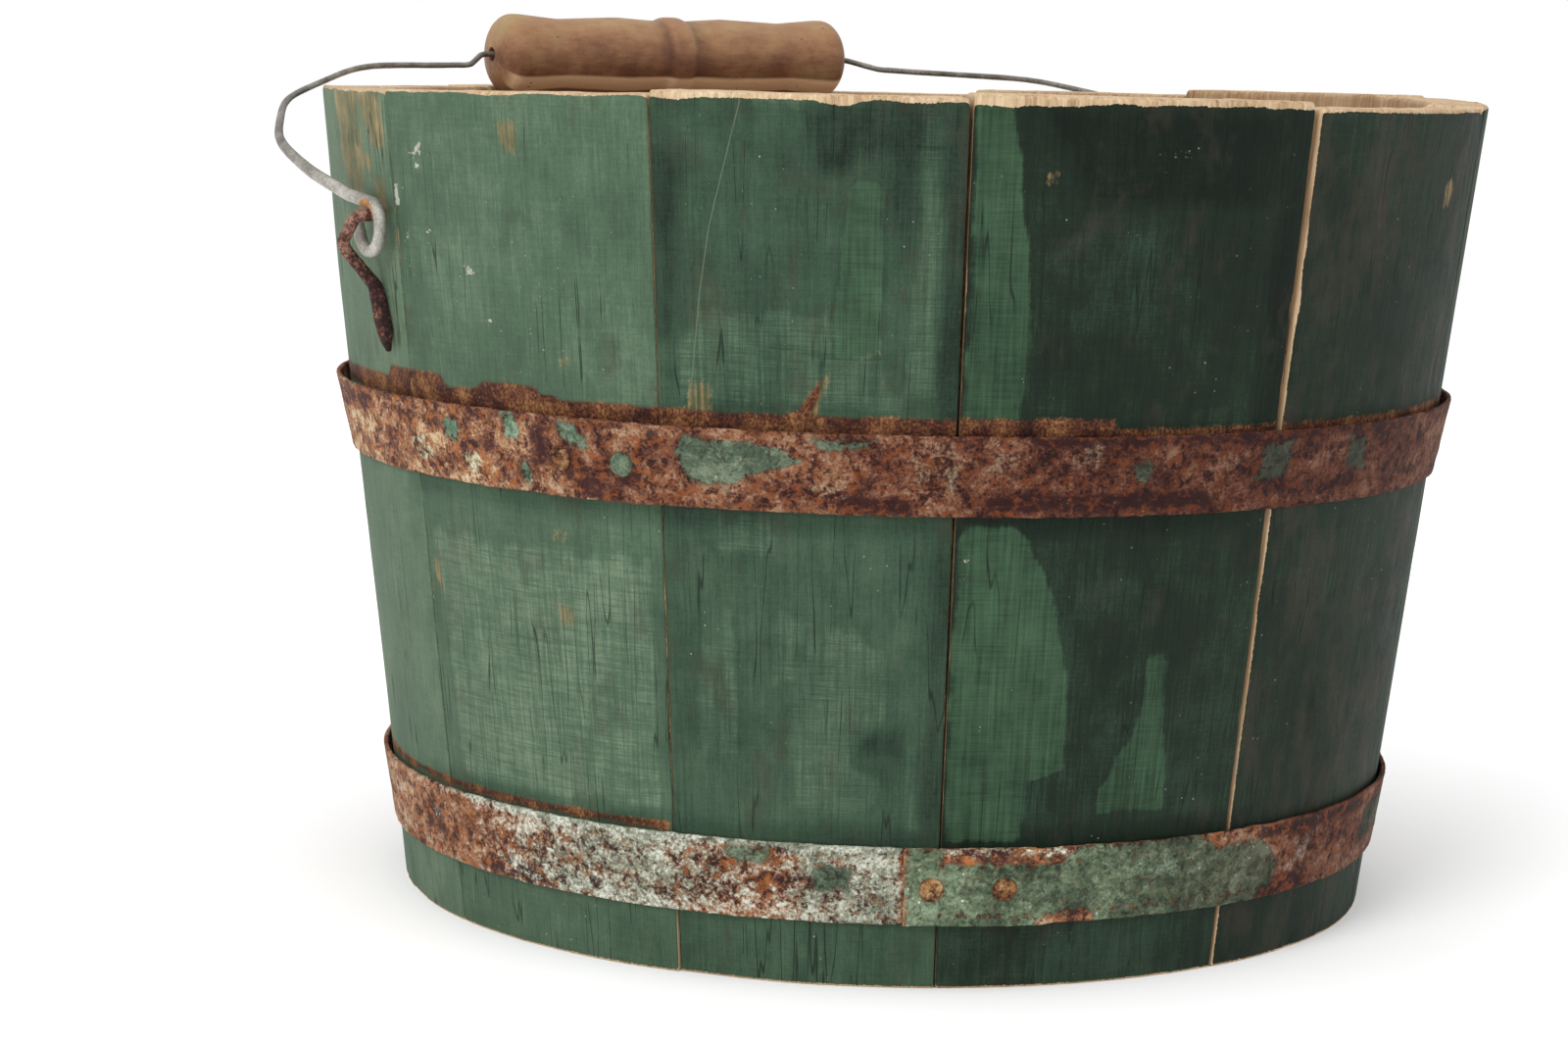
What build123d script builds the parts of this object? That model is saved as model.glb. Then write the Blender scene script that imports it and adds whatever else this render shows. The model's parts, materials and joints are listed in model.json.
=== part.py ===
from build123d import *
import math
import os

# Staved wooden bucket with two riveted iron hoops and a swinging wire bail.
# Millimetres. The origin is the centre of the foot, on the floor. +Z is up.
# The bail turns about a line along X. At rest it lies back, towards +Y.

os.makedirs("parts", exist_ok=True)

# Staved wall, a cone that opens upwards
foot_radius = 127.0
rim_radius = 152.0
bucket_height = 208.0
wall_thickness = 16.0
worn_edge = 1.2
seam_angles = [20.0, 48.0, 82.0, 116.0, 149.5, 182.4, 215.4, 243.5, 277.0, 312.0, 346.0]
stave_height_offsets = [-1.5, -3.2, -2.4, -2.6, -1.6, -0.2, 1.4, 1.9, -0.3, 0.6, 0.8]
tight_seam_gap = 0.3
open_seams = {243.5: (0.4, 0.9), 277.0: (0.7, 2.2)}

# Bottom, three boards held in the croze groove
board_underside = 14.0
board_thickness = 13.0
board_tongue = 7.0
croze_depth = 5.0
croze_clearance = 0.15
board_joints = [-40.0, 37.0]
board_joint_gap = 0.3
dowel_radius = 3.0
dowel_length = 30.0
dowel_spread = 110.0
dowel_clearance = 0.05

# Hoops, flat iron strip with riveted laps
hoop_width = 19.0
hoop_thickness = 1.2
hoop_below_staple = 9.5
lower_hoop_bottom = 16.0
upper_stand_off = 1.3
lower_stand_off = 0.6
lap_length = 31.0
lap_gap = 0.05
lap_joggle = 6.0
end_gap = 1.5
upper_lap_angle = 202.6
lower_lap_angle = 239.8
rivet_shank_radius = 1.7
rivet_head_radius = 3.0
rivet_head_height = 1.7
rivet_spacing = 17.0
rivet_edge = 6.5
rivet_clearance = 0.05
rivet_lean = 8.0

# Bail, a bent wire with an open eye at each end
pivot_drop = 31.5
wire_radius = 1.4
eye_wall_gap = 2.0
eye_radius = 6.0
eye_clearance = 0.15
eye_start = 95.0
eye_end = 330.0
eye_lead = 13.0
eye_tail = 6.0
arm_flare = 3.4
shoulder_bend = 4.0
arm_bends = [6.0, 24.0, 30.0, 30.0, 12.0]
eye_bend = 9.0

# Grip, turned wood on the wire
grip_length = 113.0
grip_radius = 11.4
grip_offset = -5.0
grip_bead = 4.7
grip_corner = 5.5
grip_corner_cut = 1.6
grip_groove_cut = 1.0
grip_swell_cut = 0.3
grip_waist_cut = 1.2
grip_bulb = 8.0
grip_clearance = 0.1
grip_nest = 8.3
grip_rise = 6.4
wire_past_grip = 3.0

# Staples, one leg in the wood and the other lying down the stave
staple_radius = 1.6
leg_depth = 12.0
leg_clearance = 0.05
bow_gap = 0.8
bow_bulge = 0.6
bow_sideways = 7.0
bow_drop = 7.5
shank_sideways = 4.5
shank_lift = 0.1
shank_top_drop = 17.5
shank_tip_drop = 34.0
shank_tip_sideways = 0.5
staple_bends = [2.6, 3.6, 4.0]
tip_length = 4.0
tip_radius = 0.5


def wall_radius(height):
    """Outside radius of the staved wall at a height."""
    return foot_radius + (rim_radius - foot_radius) * height / bucket_height


# The pivot line runs through the staple legs, and the upper hoop lies below the staples.
pivot_height = bucket_height - pivot_drop
upper_hoop_bottom = pivot_height - shank_tip_drop - hoop_below_staple - hoop_width
eye_plane = wall_radius(pivot_height) + eye_wall_gap + wire_radius
leg_reach = eye_wall_gap + 2 * wire_radius + bow_gap + staple_radius

# The grip's bulb rests on the inner edge of the rim, which sets how far the bail lies back.
grip_far_bulb = grip_length / 2 + abs(grip_offset) - grip_bulb
rim_chord = math.sqrt((rim_radius - wall_thickness) ** 2 - grip_far_bulb**2)
grip_back = rim_chord - grip_nest
bail_lean = math.atan2(pivot_drop + grip_rise, grip_back)
bail_reach = math.hypot(pivot_drop + grip_rise, grip_back)


def ring_sector(profile, start, sweep_angle):
    """Solid made by turning a closed outline of (radius, height) points round Z."""
    outline = make_face(Polyline(*[(r, 0, z) for r, z in profile], close=True))
    return Rot(0, 0, start) * revolve(outline, Axis.Z, revolution_arc=sweep_angle)


def bent_wire(points, bends):
    """Round wire along straight runs joined by tangent arcs, one bend per inner point."""
    corners = [Vector(*p) for p in points]
    edges = []
    run_start = corners[0]
    for before, corner, after, bend in zip(corners, corners[1:], corners[2:], bends):
        into = (corner - before).normalized()
        out = (after - corner).normalized()
        half_turn = math.acos(max(-1.0, min(1.0, into.dot(out)))) / 2
        setback = bend * math.tan(half_turn)
        arc_start = corner - into * setback
        arc_end = corner + out * setback
        inward = (out - into).normalized()
        middle = corner + inward * (bend / math.cos(half_turn) - bend)
        edges.append(Line(run_start, arc_start))
        edges.append(ThreePointArc(arc_start, middle, arc_end))
        run_start = arc_end
    edges.append(Line(run_start, corners[-1]))
    return Wire(edges)


def swept(path, radius):
    """Round bar of one radius along a path."""
    section = Plane(origin=path @ 0, z_dir=path % 0) * Circle(radius)
    return sweep(section, path=path)


def mirrored(shape):
    """The same piece on the other side of the bucket."""
    return shape.mirror(Plane.YZ)


def write(name, shape):
    export_step(shape, f"parts/{name}.step")


# ---- bottom boards ----------------------------------------------------------

def board_profile(grown):
    """Half outline of the bottom disc, grown by a clearance for the groove."""
    tongue_radius = wall_radius(board_underside) - wall_thickness + croze_depth + grown
    shoulder_radius = tongue_radius - croze_depth - 1.0
    bottom = board_underside - grown
    top = board_underside + board_thickness + grown
    tongue_bottom = board_underside + (board_thickness - board_tongue) / 2 - grown
    tongue_top = tongue_bottom + board_tongue + 2 * grown
    return [
        (0, bottom),
        (shoulder_radius, bottom),
        (tongue_radius, tongue_bottom),
        (tongue_radius, tongue_top),
        (shoulder_radius, top),
        (0, top),
    ]


def dowels(radius, length):
    """Pins across both board joints, at half the board's thickness."""
    height = board_underside + board_thickness / 2
    pins = []
    for joint in board_joints:
        for side in (-0.5, 0.5):
            place = Pos(joint, side * dowel_spread, height) * Rot(0, 90, 0)
            pins.append(place * Cylinder(radius, length))
    return pins


def make_bottom_boards():
    disc = ring_sector(board_profile(0), 0, 360)
    for pin in dowels(dowel_radius + dowel_clearance, dowel_length + 2 * dowel_clearance):
        disc = disc - pin
    edges = [-2 * foot_radius] + board_joints + [2 * foot_radius]
    names = ["bottom_board_left", "bottom_board_middle", "bottom_board_right"]
    for name, left, right in zip(names, edges, edges[1:]):
        width = right - left - board_joint_gap
        plank = Pos((left + right) / 2, 0, 0) * Box(width, 4 * foot_radius, 4 * board_thickness)
        plank = Pos(0, 0, board_underside) * plank
        write(name, disc & plank)
    write("bottom_dowels", Compound(children=dowels(dowel_radius, dowel_length)))


# ---- staves -----------------------------------------------------------------

def seam_cutter(angle):
    """Thin upright wedge that opens a seam, wider at the rim where the wood shrank."""
    foot_gap, rim_gap = open_seams.get(angle, (tight_seam_gap, tight_seam_gap))
    below = -1.0
    above = bucket_height + 10.0
    outline = [
        (-foot_gap / 2, below),
        (foot_gap / 2, below),
        (rim_gap / 2, above),
        (-rim_gap / 2, above),
    ]
    face = Plane.YZ * make_face(Polyline(*outline, close=True))
    return Rot(0, 0, angle) * extrude(face, 2 * rim_radius)


def leg_bore(side):
    """Hole in the wall for the upper leg of a staple."""
    bore = Cylinder(staple_radius + leg_clearance, 2 * leg_depth + 2 * leg_clearance)
    return Pos(side * wall_radius(pivot_height), 0, pivot_height) * Rot(0, 90, 0) * bore


def make_staves():
    groove = ring_sector(board_profile(croze_clearance), 0, 360)
    bores = [leg_bore(-1), leg_bore(1)]
    seams = seam_angles + [seam_angles[0] + 360]
    for number, offset in enumerate(stave_height_offsets, start=1):
        start = seams[number - 1]
        end = seams[number]
        top = bucket_height + offset
        profile = [
            (wall_radius(0) - wall_thickness, 0),
            (wall_radius(0) - worn_edge, 0),
            (wall_radius(worn_edge), worn_edge),
            (wall_radius(top - worn_edge), top - worn_edge),
            (wall_radius(top) - worn_edge, top),
            (wall_radius(top) - wall_thickness + worn_edge, top),
            (wall_radius(top - worn_edge) - wall_thickness, top - worn_edge),
        ]
        stave = ring_sector(profile, start, end - start)
        stave = stave - seam_cutter(start) - seam_cutter(seam_angles[number % len(seam_angles)])
        stave = stave - groove
        for bore in bores:
            stave = stave - bore
        write(f"stave_{number:02d}", stave)


# ---- hoops and rivets -------------------------------------------------------

def hoop_profile(bottom, stand_off, layer):
    """Outline of the strip, layer 0 against the wall and layer 1 over the lap."""
    lift = layer * (hoop_thickness + lap_gap)
    inner_bottom = wall_radius(bottom) + lift
    inner_top = wall_radius(bottom + hoop_width) + stand_off + lift
    return [
        (inner_bottom, bottom),
        (inner_bottom + hoop_thickness, bottom),
        (inner_top + hoop_thickness, bottom + hoop_width),
        (inner_top, bottom + hoop_width),
    ]


def rivet_places(bottom, stand_off, lap_angle):
    """Frames on the inner face of the strip, with Z square to the strip and outwards."""
    middle = bottom + hoop_width / 2
    inner_bottom = wall_radius(bottom)
    inner_top = wall_radius(bottom + hoop_width) + stand_off
    radius = (inner_bottom + inner_top) / 2
    tilt = math.degrees(math.atan2(inner_top - inner_bottom, hoop_width))
    places = []
    for along in (rivet_edge, rivet_edge + rivet_spacing):
        angle = lap_angle + math.degrees(along / radius)
        places.append(Rot(0, 0, angle) * Pos(radius, 0, middle) * Rot(0, 90 + tilt, 0))
    return places


def rivet():
    """Domed rivet along Z, its tail flush with the strip's inner face at Z 0."""
    grip = (2 * hoop_thickness + lap_gap) / math.cos(math.radians(rivet_lean))
    shank = Pos(0, 0, grip / 2) * Cylinder(rivet_shank_radius, grip)
    ball_radius = (rivet_head_radius**2 + rivet_head_height**2) / (2 * rivet_head_height)
    ball = Pos(0, 0, grip + rivet_head_height - ball_radius) * Sphere(ball_radius)
    cap = Pos(0, 0, grip + rivet_head_height) * Box(4 * ball_radius, 4 * ball_radius, 2 * rivet_head_height)
    return shank + (ball & cap)


def make_hoop(name, bottom, stand_off, lap_angle):
    radius = wall_radius(bottom + hoop_width / 2)
    hidden_end = lap_angle + math.degrees(lap_length / radius)
    gap = math.degrees(end_gap / radius)
    joggle = math.degrees(lap_joggle / radius)
    band = ring_sector(hoop_profile(bottom, stand_off, 0), hidden_end + gap, 360 - gap)
    lap = ring_sector(hoop_profile(bottom, stand_off, 1), lap_angle, hidden_end + gap + joggle - lap_angle)
    step_profile = hoop_profile(bottom, stand_off, 0)
    step_profile[1] = (step_profile[1][0] + hoop_thickness / 2, bottom)
    step_profile[2] = (step_profile[2][0] + hoop_thickness / 2, bottom + hoop_width)
    step = ring_sector(step_profile, hidden_end + gap, joggle)
    strip = band + (lap + step)
    places = rivet_places(bottom, stand_off, lap_angle)
    for place in places:
        strip = strip - place * Cylinder(rivet_shank_radius + rivet_clearance, 8 * hoop_thickness)
    write(name, strip)
    write(f"{name}_rivets", Compound(children=[place * rivet() for place in places]))


# ---- bail, grip and staples -------------------------------------------------

def bail_point(across, along):
    """Point of the resting bail, across the bucket and along from the pivot line."""
    return (across, along * math.cos(bail_lean), pivot_height + along * math.sin(bail_lean))


def eye_path(side):
    """Open eye round the staple leg, from the end of the arm to the tip of the tail."""
    drop = eye_radius - wire_radius - staple_radius - eye_clearance
    centre = Vector(side * eye_plane, 0, pivot_height - drop)

    def at(angle):
        turn = math.radians(angle)
        return centre + Vector(0, eye_radius * math.cos(turn), eye_radius * math.sin(turn))

    def along(angle):
        turn = math.radians(angle)
        return Vector(0, -math.sin(turn), math.cos(turn))

    loop = ThreePointArc(at(eye_start), at((eye_start + eye_end) / 2), at(eye_end))
    tail = Line(at(eye_end), at(eye_end) + along(eye_end) * eye_tail)
    arm_end = at(eye_start) - along(eye_start) * eye_lead
    return at(eye_start), arm_end, [loop, tail]


def arm_wire(side, drop_in, crown):
    """Half of the bail, from the middle of the grip out to the tail of the eye.

    drop_in is the step down beside the grip, across and along. crown is the top
    corner of the arm, how far it lies past the rim and how far short of the reach.
    """
    loop_start, arm_end, eye_edges = eye_path(side)
    shoulder = side * grip_offset + grip_length / 2 + wire_past_grip
    arm_plane = eye_plane + arm_flare
    crown_along = bail_reach - crown[1]
    crown_back = crown_along * math.cos(bail_lean)
    crown_across = math.sqrt((rim_radius + crown[0]) ** 2 - crown_back**2)
    outline = [
        (shoulder, bail_reach),
        (shoulder + drop_in[0], bail_reach - drop_in[1]),
        (crown_across, crown_along),
        (0.921 * rim_radius, 0.685 * bail_reach),
        (arm_plane, 0.424 * bail_reach),
        (arm_plane, 0.245 * bail_reach),
    ]
    points = [bail_point(grip_offset, bail_reach)]
    points += [bail_point(side * across, along) for across, along in outline]
    points += [tuple(arm_end), tuple(loop_start)]
    arm = bent_wire(points, [shoulder_bend] + arm_bends + [eye_bend])
    return swept(Wire(arm.edges() + eye_edges), wire_radius)


def make_bail():
    left = arm_wire(-1, (8.5, 10.2), (-1.7, 10.7))
    right = arm_wire(1, (7.5, 8.7), (0.4, 15.2))
    write("bail_wire", left + right)


def make_grip():
    half = grip_length / 2
    bore = wire_radius + grip_clearance
    side = [
        (grip_bead / 2, grip_radius),
        (grip_bead, grip_radius - grip_groove_cut),
        (0.30 * half, grip_radius - grip_swell_cut),
        (0.64 * half, grip_radius - grip_waist_cut),
        (half - grip_bulb, grip_radius),
        (half, grip_radius - grip_corner),
    ]
    right = [(x, 0, r) for x, r in side]
    left = [(-x, 0, r) for x, r in reversed(side)]
    level = [(1, 0, 0), (1, 0, 0)]
    corner = (half - grip_corner_cut, 0, grip_radius - grip_corner_cut)
    outline = Spline(*left[1:], (0, 0, grip_radius), *right[:-1], tangents=level)
    right_end = ThreePointArc(right[-2], corner, right[-1])
    left_end = ThreePointArc(left[0], (-corner[0], 0, corner[2]), left[1])
    frame = Polyline(right[-1], (half, 0, bore), (-half, 0, bore), left[0])
    turned = revolve(make_face(Wire([outline, right_end, left_end, *frame.edges()])), Axis.X)
    write("grip", Pos(*bail_point(grip_offset, bail_reach)) * turned)


def make_staples():
    face = wall_radius(pivot_height)
    shank_top = pivot_height - shank_top_drop
    tip = pivot_height - shank_tip_drop + tip_length
    lying = staple_radius + shank_lift
    points = [
        (-(face - leg_depth), 0, pivot_height),
        (-(face + leg_reach), 0, pivot_height),
        (-(face + leg_reach + bow_bulge), bow_sideways, pivot_height - bow_drop),
        (-(wall_radius(shank_top) + lying), shank_sideways, shank_top),
        (-(wall_radius(tip) + lying), shank_tip_sideways, tip),
    ]
    path = bent_wire(points, staple_bends)
    tip_place = Plane(origin=path @ 1, z_dir=path % 1) * Pos(0, 0, tip_length / 2)
    staple = swept(path, staple_radius) + tip_place * Cone(staple_radius, tip_radius, tip_length)
    write("left_bail_staple", staple)
    write("right_bail_staple", mirrored(staple))


make_bottom_boards()
make_staves()
make_hoop("upper_hoop", upper_hoop_bottom, upper_stand_off, upper_lap_angle)
make_hoop("lower_hoop", lower_hoop_bottom, lower_stand_off, lower_lap_angle)
make_bail()
make_grip()
make_staples()
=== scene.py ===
import json
import math
import bpy
import numpy as np
from mathutils import Matrix, Vector


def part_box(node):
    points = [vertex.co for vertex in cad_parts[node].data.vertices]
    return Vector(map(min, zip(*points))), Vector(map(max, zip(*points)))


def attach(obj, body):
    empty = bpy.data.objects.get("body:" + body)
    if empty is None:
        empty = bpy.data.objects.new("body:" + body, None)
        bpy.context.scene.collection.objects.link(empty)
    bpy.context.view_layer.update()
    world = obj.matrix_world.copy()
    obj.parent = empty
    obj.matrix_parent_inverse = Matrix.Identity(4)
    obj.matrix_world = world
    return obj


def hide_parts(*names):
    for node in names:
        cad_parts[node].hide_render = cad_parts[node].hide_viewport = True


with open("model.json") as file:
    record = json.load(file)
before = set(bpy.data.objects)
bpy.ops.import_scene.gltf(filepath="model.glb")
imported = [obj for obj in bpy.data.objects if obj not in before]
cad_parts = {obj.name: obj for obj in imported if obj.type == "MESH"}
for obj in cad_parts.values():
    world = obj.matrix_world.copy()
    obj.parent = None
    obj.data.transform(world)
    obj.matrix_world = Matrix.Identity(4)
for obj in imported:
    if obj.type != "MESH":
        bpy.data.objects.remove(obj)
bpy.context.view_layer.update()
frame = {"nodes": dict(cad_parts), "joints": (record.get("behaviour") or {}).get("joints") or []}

# Shapes are worked out in millimetres and written to the meshes in metres.
# Angles on the wall are degrees about the bucket's axis, heights are above the floor.
mm = 0.001
fine = 1.0      # lattice step factor

bucket = {
    "footRadius": 127.0,
    "rimRadius": 152.0,
    "height": 208.0,
    "wall": 16.0,
    "pivot": frame["joints"][0]["pos_m"][2] / mm,
    "arcScale": 1.4,       # decimetres of wall per radian, for the finishes
}


def nodeSpan(name):
    low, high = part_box(name)
    return [v / mm for v in low], [v / mm for v in high]


def aroundAxis(radius, angle, high):
    turn = np.radians(angle)
    return np.stack([radius * np.cos(turn), radius * np.sin(turn), high], -1)


def wallRadius(height):
    return bucket["footRadius"] + (bucket["rimRadius"] - bucket["footRadius"]) * height / bucket["height"]


# Fields, lattices and round bars that the pieces are made of

def hashed(x, y, z, seed):
    mixed = (x * 374761393 + y * 668265263 + z * 974634777 + seed * 362437) & 0xffffffff
    mixed = ((mixed ^ (mixed >> 13)) * 1274126177) & 0xffffffff
    return ((mixed ^ (mixed >> 16)) & 0xffff) / 65535.0


def bumps(x, y, z, seed):
    # smooth random field from -1 to 1, about one bump per unit
    x, y, z = np.broadcast_arrays(x, y, z)
    cells = [np.floor(v).astype(np.int64) for v in (x, y, z)]
    parts = [v - c for v, c in zip((x, y, z), cells)]
    ease = [p * p * (3 - 2 * p) for p in parts]
    total = 0.0
    for i in (0, 1):
        for j in (0, 1):
            for k in (0, 1):
                weight = (ease[0] if i else 1 - ease[0]) * (ease[1] if j else 1 - ease[1])
                weight = weight * (ease[2] if k else 1 - ease[2])
                total = total + weight * hashed(cells[0] + i, cells[1] + j, cells[2] + k, seed)
    return total * 2 - 1


def layered(x, y, z, seed, octaves=3):
    total = 0.0
    size = 1.0
    for step in range(octaves):
        total = total + bumps(x / size, y / size, z / size, seed + step) * size
        size = size / 2
    return total / (2 - size * 2)


def smooth(value, low, high):
    t = np.clip((value - low) / (high - low), 0, 1)
    return t * t * (3 - 2 * t)


def ticks(length, step, edge=(0.2, 0.5, 0.9, 1.5, 2.4)):
    # lattice lines from 0 to length, close together near both ends
    inner = np.arange(edge[-1] + step, length - edge[-1] - step * 0.4, step)
    return np.concatenate([[0], edge, inner, [length - e for e in reversed(edge)], [length]])


def shellLattice(across, deep, high):
    # points and quads of the outside of a box, cut by three sets of lattice lines
    shape = (len(across), len(deep), len(high))
    shell = np.zeros(shape, bool)
    shell[[0, -1]] = True
    shell[:, [0, -1]] = True
    shell[:, :, [0, -1]] = True
    index = np.full(shape, -1)
    index[shell] = np.arange(shell.sum())
    grid = np.stack(np.meshgrid(across, deep, high, indexing="ij"), -1)[shell]

    def side(part, flip):
        quads = np.stack([part[:-1, :-1], part[1:, :-1], part[1:, 1:], part[:-1, 1:]], -1).reshape(-1, 4)
        return quads[:, ::-1] if flip else quads

    faces = [side(index[0], True), side(index[-1], False)]
    faces += [side(index[:, 0], False), side(index[:, -1], True)]
    faces += [side(index[:, :, 0], True), side(index[:, :, -1], False)]
    return grid, np.concatenate(faces)


def wornEdges(points, low, high, radius):
    # rounds the edges of a box, by a radius that may differ from point to point
    radius = np.broadcast_to(np.asarray(radius)[..., None] if np.ndim(radius) else radius, points.shape)
    core = np.clip(points, low + radius, high - radius)
    off = points - core
    length = np.linalg.norm(off, axis=1, keepdims=True)
    keep = np.minimum(1.0, radius[:, :1] / np.maximum(length, 1e-9))
    return core + off * keep


def addObject(name, data):
    thing = bpy.data.objects.new(name, data)
    bpy.context.scene.collection.objects.link(thing)
    return thing


def dress(name, mesh, material, body, slot, stands, marks):
    # marks become the attributes that the finish reads
    mesh.shade_smooth()
    for key, values in marks.items():
        isVector = values.ndim == 2
        layer = mesh.attributes.new(key, "FLOAT_VECTOR" if isVector else "FLOAT", "POINT")
        layer.data.foreach_set("vector" if isVector else "value", values.astype(np.float32).ravel())
    mesh.materials.append(material)
    piece = addObject(name, mesh)
    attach(piece, body)
    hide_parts(stands)


def makePiece(name, points, faces, *dressing):
    mesh = bpy.data.meshes.new(name)
    mesh.vertices.add(len(points))
    mesh.vertices.foreach_set("co", (points * mm).astype(np.float32).ravel())
    mesh.loops.add(faces.size)
    mesh.loops.foreach_set("vertex_index", faces.astype(np.int32).ravel())
    mesh.polygons.add(len(faces))
    mesh.polygons.foreach_set("loop_start", np.arange(0, faces.size, faces.shape[1], dtype=np.int32))
    mesh.update(calc_edges=True)
    mesh.validate()
    dress(name, mesh, *dressing)


def makeTube(name, points, quads, caps, *dressing):
    mesh = bpy.data.meshes.new(name)
    faces = quads.tolist() + caps[0].tolist() + caps[1].tolist()
    mesh.from_pydata((points * mm).tolist(), [], faces)
    dress(name, mesh, *dressing)


def tube(path, radii, around):
    # closed round bar along a path, its section carried along without twist
    path = np.asarray(path, float)
    ahead = np.gradient(path, axis=0)
    ahead /= np.linalg.norm(ahead, axis=1, keepdims=True)
    side = np.cross(ahead[0], (0.3, 0.2, 0.9))
    side /= np.linalg.norm(side)
    turn = np.linspace(0, 2 * math.pi, around, endpoint=False)
    rings = []
    for point, forward, radius in zip(path, ahead, radii):
        side = side - forward * side.dot(forward)
        side /= np.linalg.norm(side)
        other = np.cross(forward, side)
        rings.append(point + radius * (np.outer(np.cos(turn), side) + np.outer(np.sin(turn), other)))
    count = len(rings)
    points = np.concatenate(rings + [path[:1], path[-1:]])
    ring = np.arange(around)
    nextOne = (ring + 1) % around
    faces = [np.stack([k * around + ring, k * around + nextOne, (k + 1) * around + nextOne,
                       (k + 1) * around + ring], -1) for k in range(count - 1)]
    startCap = np.stack([nextOne, ring, np.full(around, count * around), np.full(around, count * around)], -1)
    last = (count - 1) * around
    tip = np.full(around, count * around + 1)
    endCap = np.stack([last + ring, last + nextOne, tip, tip], -1)
    return points, np.concatenate(faces), (startCap[:, :3], endCap[:, :3])


def bentPath(corners, bends, step=0.8):
    # straight runs joined by tangent arcs, sampled evenly
    corners = [np.array(c, float) for c in corners]
    points = [corners[0]]
    for before, corner, after, bend in zip(corners, corners[1:], corners[2:], bends):
        into = (corner - before) / np.linalg.norm(corner - before)
        out = (after - corner) / np.linalg.norm(after - corner)
        half = math.acos(max(-1.0, min(1.0, into.dot(out)))) / 2
        setback = bend * math.tan(half)
        inward = (out - into) / max(np.linalg.norm(out - into), 1e-9)
        centre = corner + inward * bend / math.cos(half)
        for part in np.linspace(-half, half, max(4, int(2 * half * bend / step))):
            spoke = -inward * math.cos(part) + (into + out) / np.linalg.norm(into + out) * math.sin(part)
            points.append(centre + spoke * bend)
    points.append(corners[-1])
    return evenly(np.array(points), step)


def evenly(points, step):
    along = np.concatenate([[0], np.cumsum(np.linalg.norm(np.diff(points, axis=0), axis=1))])
    stations = np.linspace(0, along[-1], max(8, int(along[-1] / step)))
    return np.stack([np.interp(stations, along, points[:, k]) for k in range(3)], -1)


# Short ways to add nodes

def newMaterial(name):
    material = bpy.data.materials.new(name)
    material.use_nodes = True
    return material, material.node_tree, material.node_tree.nodes["Principled BSDF"]


def put(tree, kind, inputs=None, **settings):
    node = tree.nodes.new(kind)
    for key, value in settings.items():
        setattr(node, key, value)
    for key, value in (inputs or {}).items():
        if isinstance(value, bpy.types.NodeSocket):
            tree.links.new(value, node.inputs[key])
        else:
            node.inputs[key].default_value = value
    return node


def mark(tree, name):
    return put(tree, "ShaderNodeAttribute", attribute_name=name).outputs["Fac"]


def place(tree, name):
    return put(tree, "ShaderNodeAttribute", attribute_name=name).outputs["Vector"]


def calc(tree, operation, first, second=0.0, clamp=False):
    return put(tree, "ShaderNodeMath", {0: first, 1: second}, operation=operation, use_clamp=clamp).outputs[0]


def within(tree, value, low, high, toLow=0.0, toHigh=1.0):
    settings = {"Value": value, "From Min": low, "From Max": high, "To Min": toLow, "To Max": toHigh}
    return put(tree, "ShaderNodeMapRange", settings).outputs[0]


def cloudy(tree, where, stretch, detail=3.0, rough=0.55, twist=0.0):
    moved = put(tree, "ShaderNodeVectorMath", {0: where, 1: stretch}, operation="MULTIPLY").outputs[0]
    settings = {"Vector": moved, "Scale": 1.0, "Detail": detail, "Roughness": rough, "Distortion": twist}
    return put(tree, "ShaderNodeTexNoise", settings).outputs[0]


def spots(tree, where, stretch, size):
    # small round specks, each with its own size; 1 inside
    moved = put(tree, "ShaderNodeVectorMath", {0: where, 1: stretch}, operation="MULTIPLY").outputs[0]
    cells = put(tree, "ShaderNodeTexVoronoi", {"Vector": moved, "Scale": 1.0})
    pick = put(tree, "ShaderNodeSeparateColor", {0: cells.outputs["Color"]}).outputs[0]
    reach = within(tree, pick, 0.55, 1.0, 0.0, size)
    return calc(tree, "LESS_THAN", cells.outputs["Distance"], reach)


def blend(tree, factor, first, second, mode="MIX"):
    node = put(tree, "ShaderNodeMix", data_type="RGBA", blend_type=mode)
    for slot, value in ((0, factor), (6, first), (7, second)):
        if isinstance(value, bpy.types.NodeSocket):
            tree.links.new(value, node.inputs[slot])
        else:
            node.inputs[slot].default_value = (*value, 1.0) if isinstance(value, tuple) else value
    return node.outputs[2]


def scale(tree, value, stops):
    node = put(tree, "ShaderNodeValToRGB", {0: value})
    band = node.color_ramp
    while len(band.elements) < len(stops):
        band.elements.new(0.5)
    for element, (position, colour) in zip(band.elements, stops):
        element.position = position
        element.color = (*colour, 1.0)
    return node.outputs[0]


def times(tree, first, second):
    return calc(tree, "MULTIPLY", first, second)


def swing(tree, value, *fields):
    # moves a value by fields that lie about 0.5, each followed by its amount
    for field, amount in zip(fields[::2], fields[1::2]):
        inputs = {0: field, 1: amount, 2: -0.5 * amount}
        moved = put(tree, "ShaderNodeMath", inputs, operation="MULTIPLY_ADD")
        value = calc(tree, "ADD", value, moved.outputs[0])
    return value


def surface(tree, shader, colour, roughness, specular=0.5):
    tree.links.new(colour, shader.inputs["Base Color"])
    tree.links.new(roughness, shader.inputs["Roughness"])
    shader.inputs["Specular IOR Level"].default_value = specular


def relief(tree, shader, height, depth, after=None):
    # bump, its depth in metres
    settings = {"Height": height, "Distance": depth, "Strength": 1.0}
    if after is not None:
        settings["Normal"] = after
    normal = put(tree, "ShaderNodeBump", settings).outputs[0]
    tree.links.new(normal, shader.inputs["Normal"])
    return normal


# Finishes, one function for each

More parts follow.
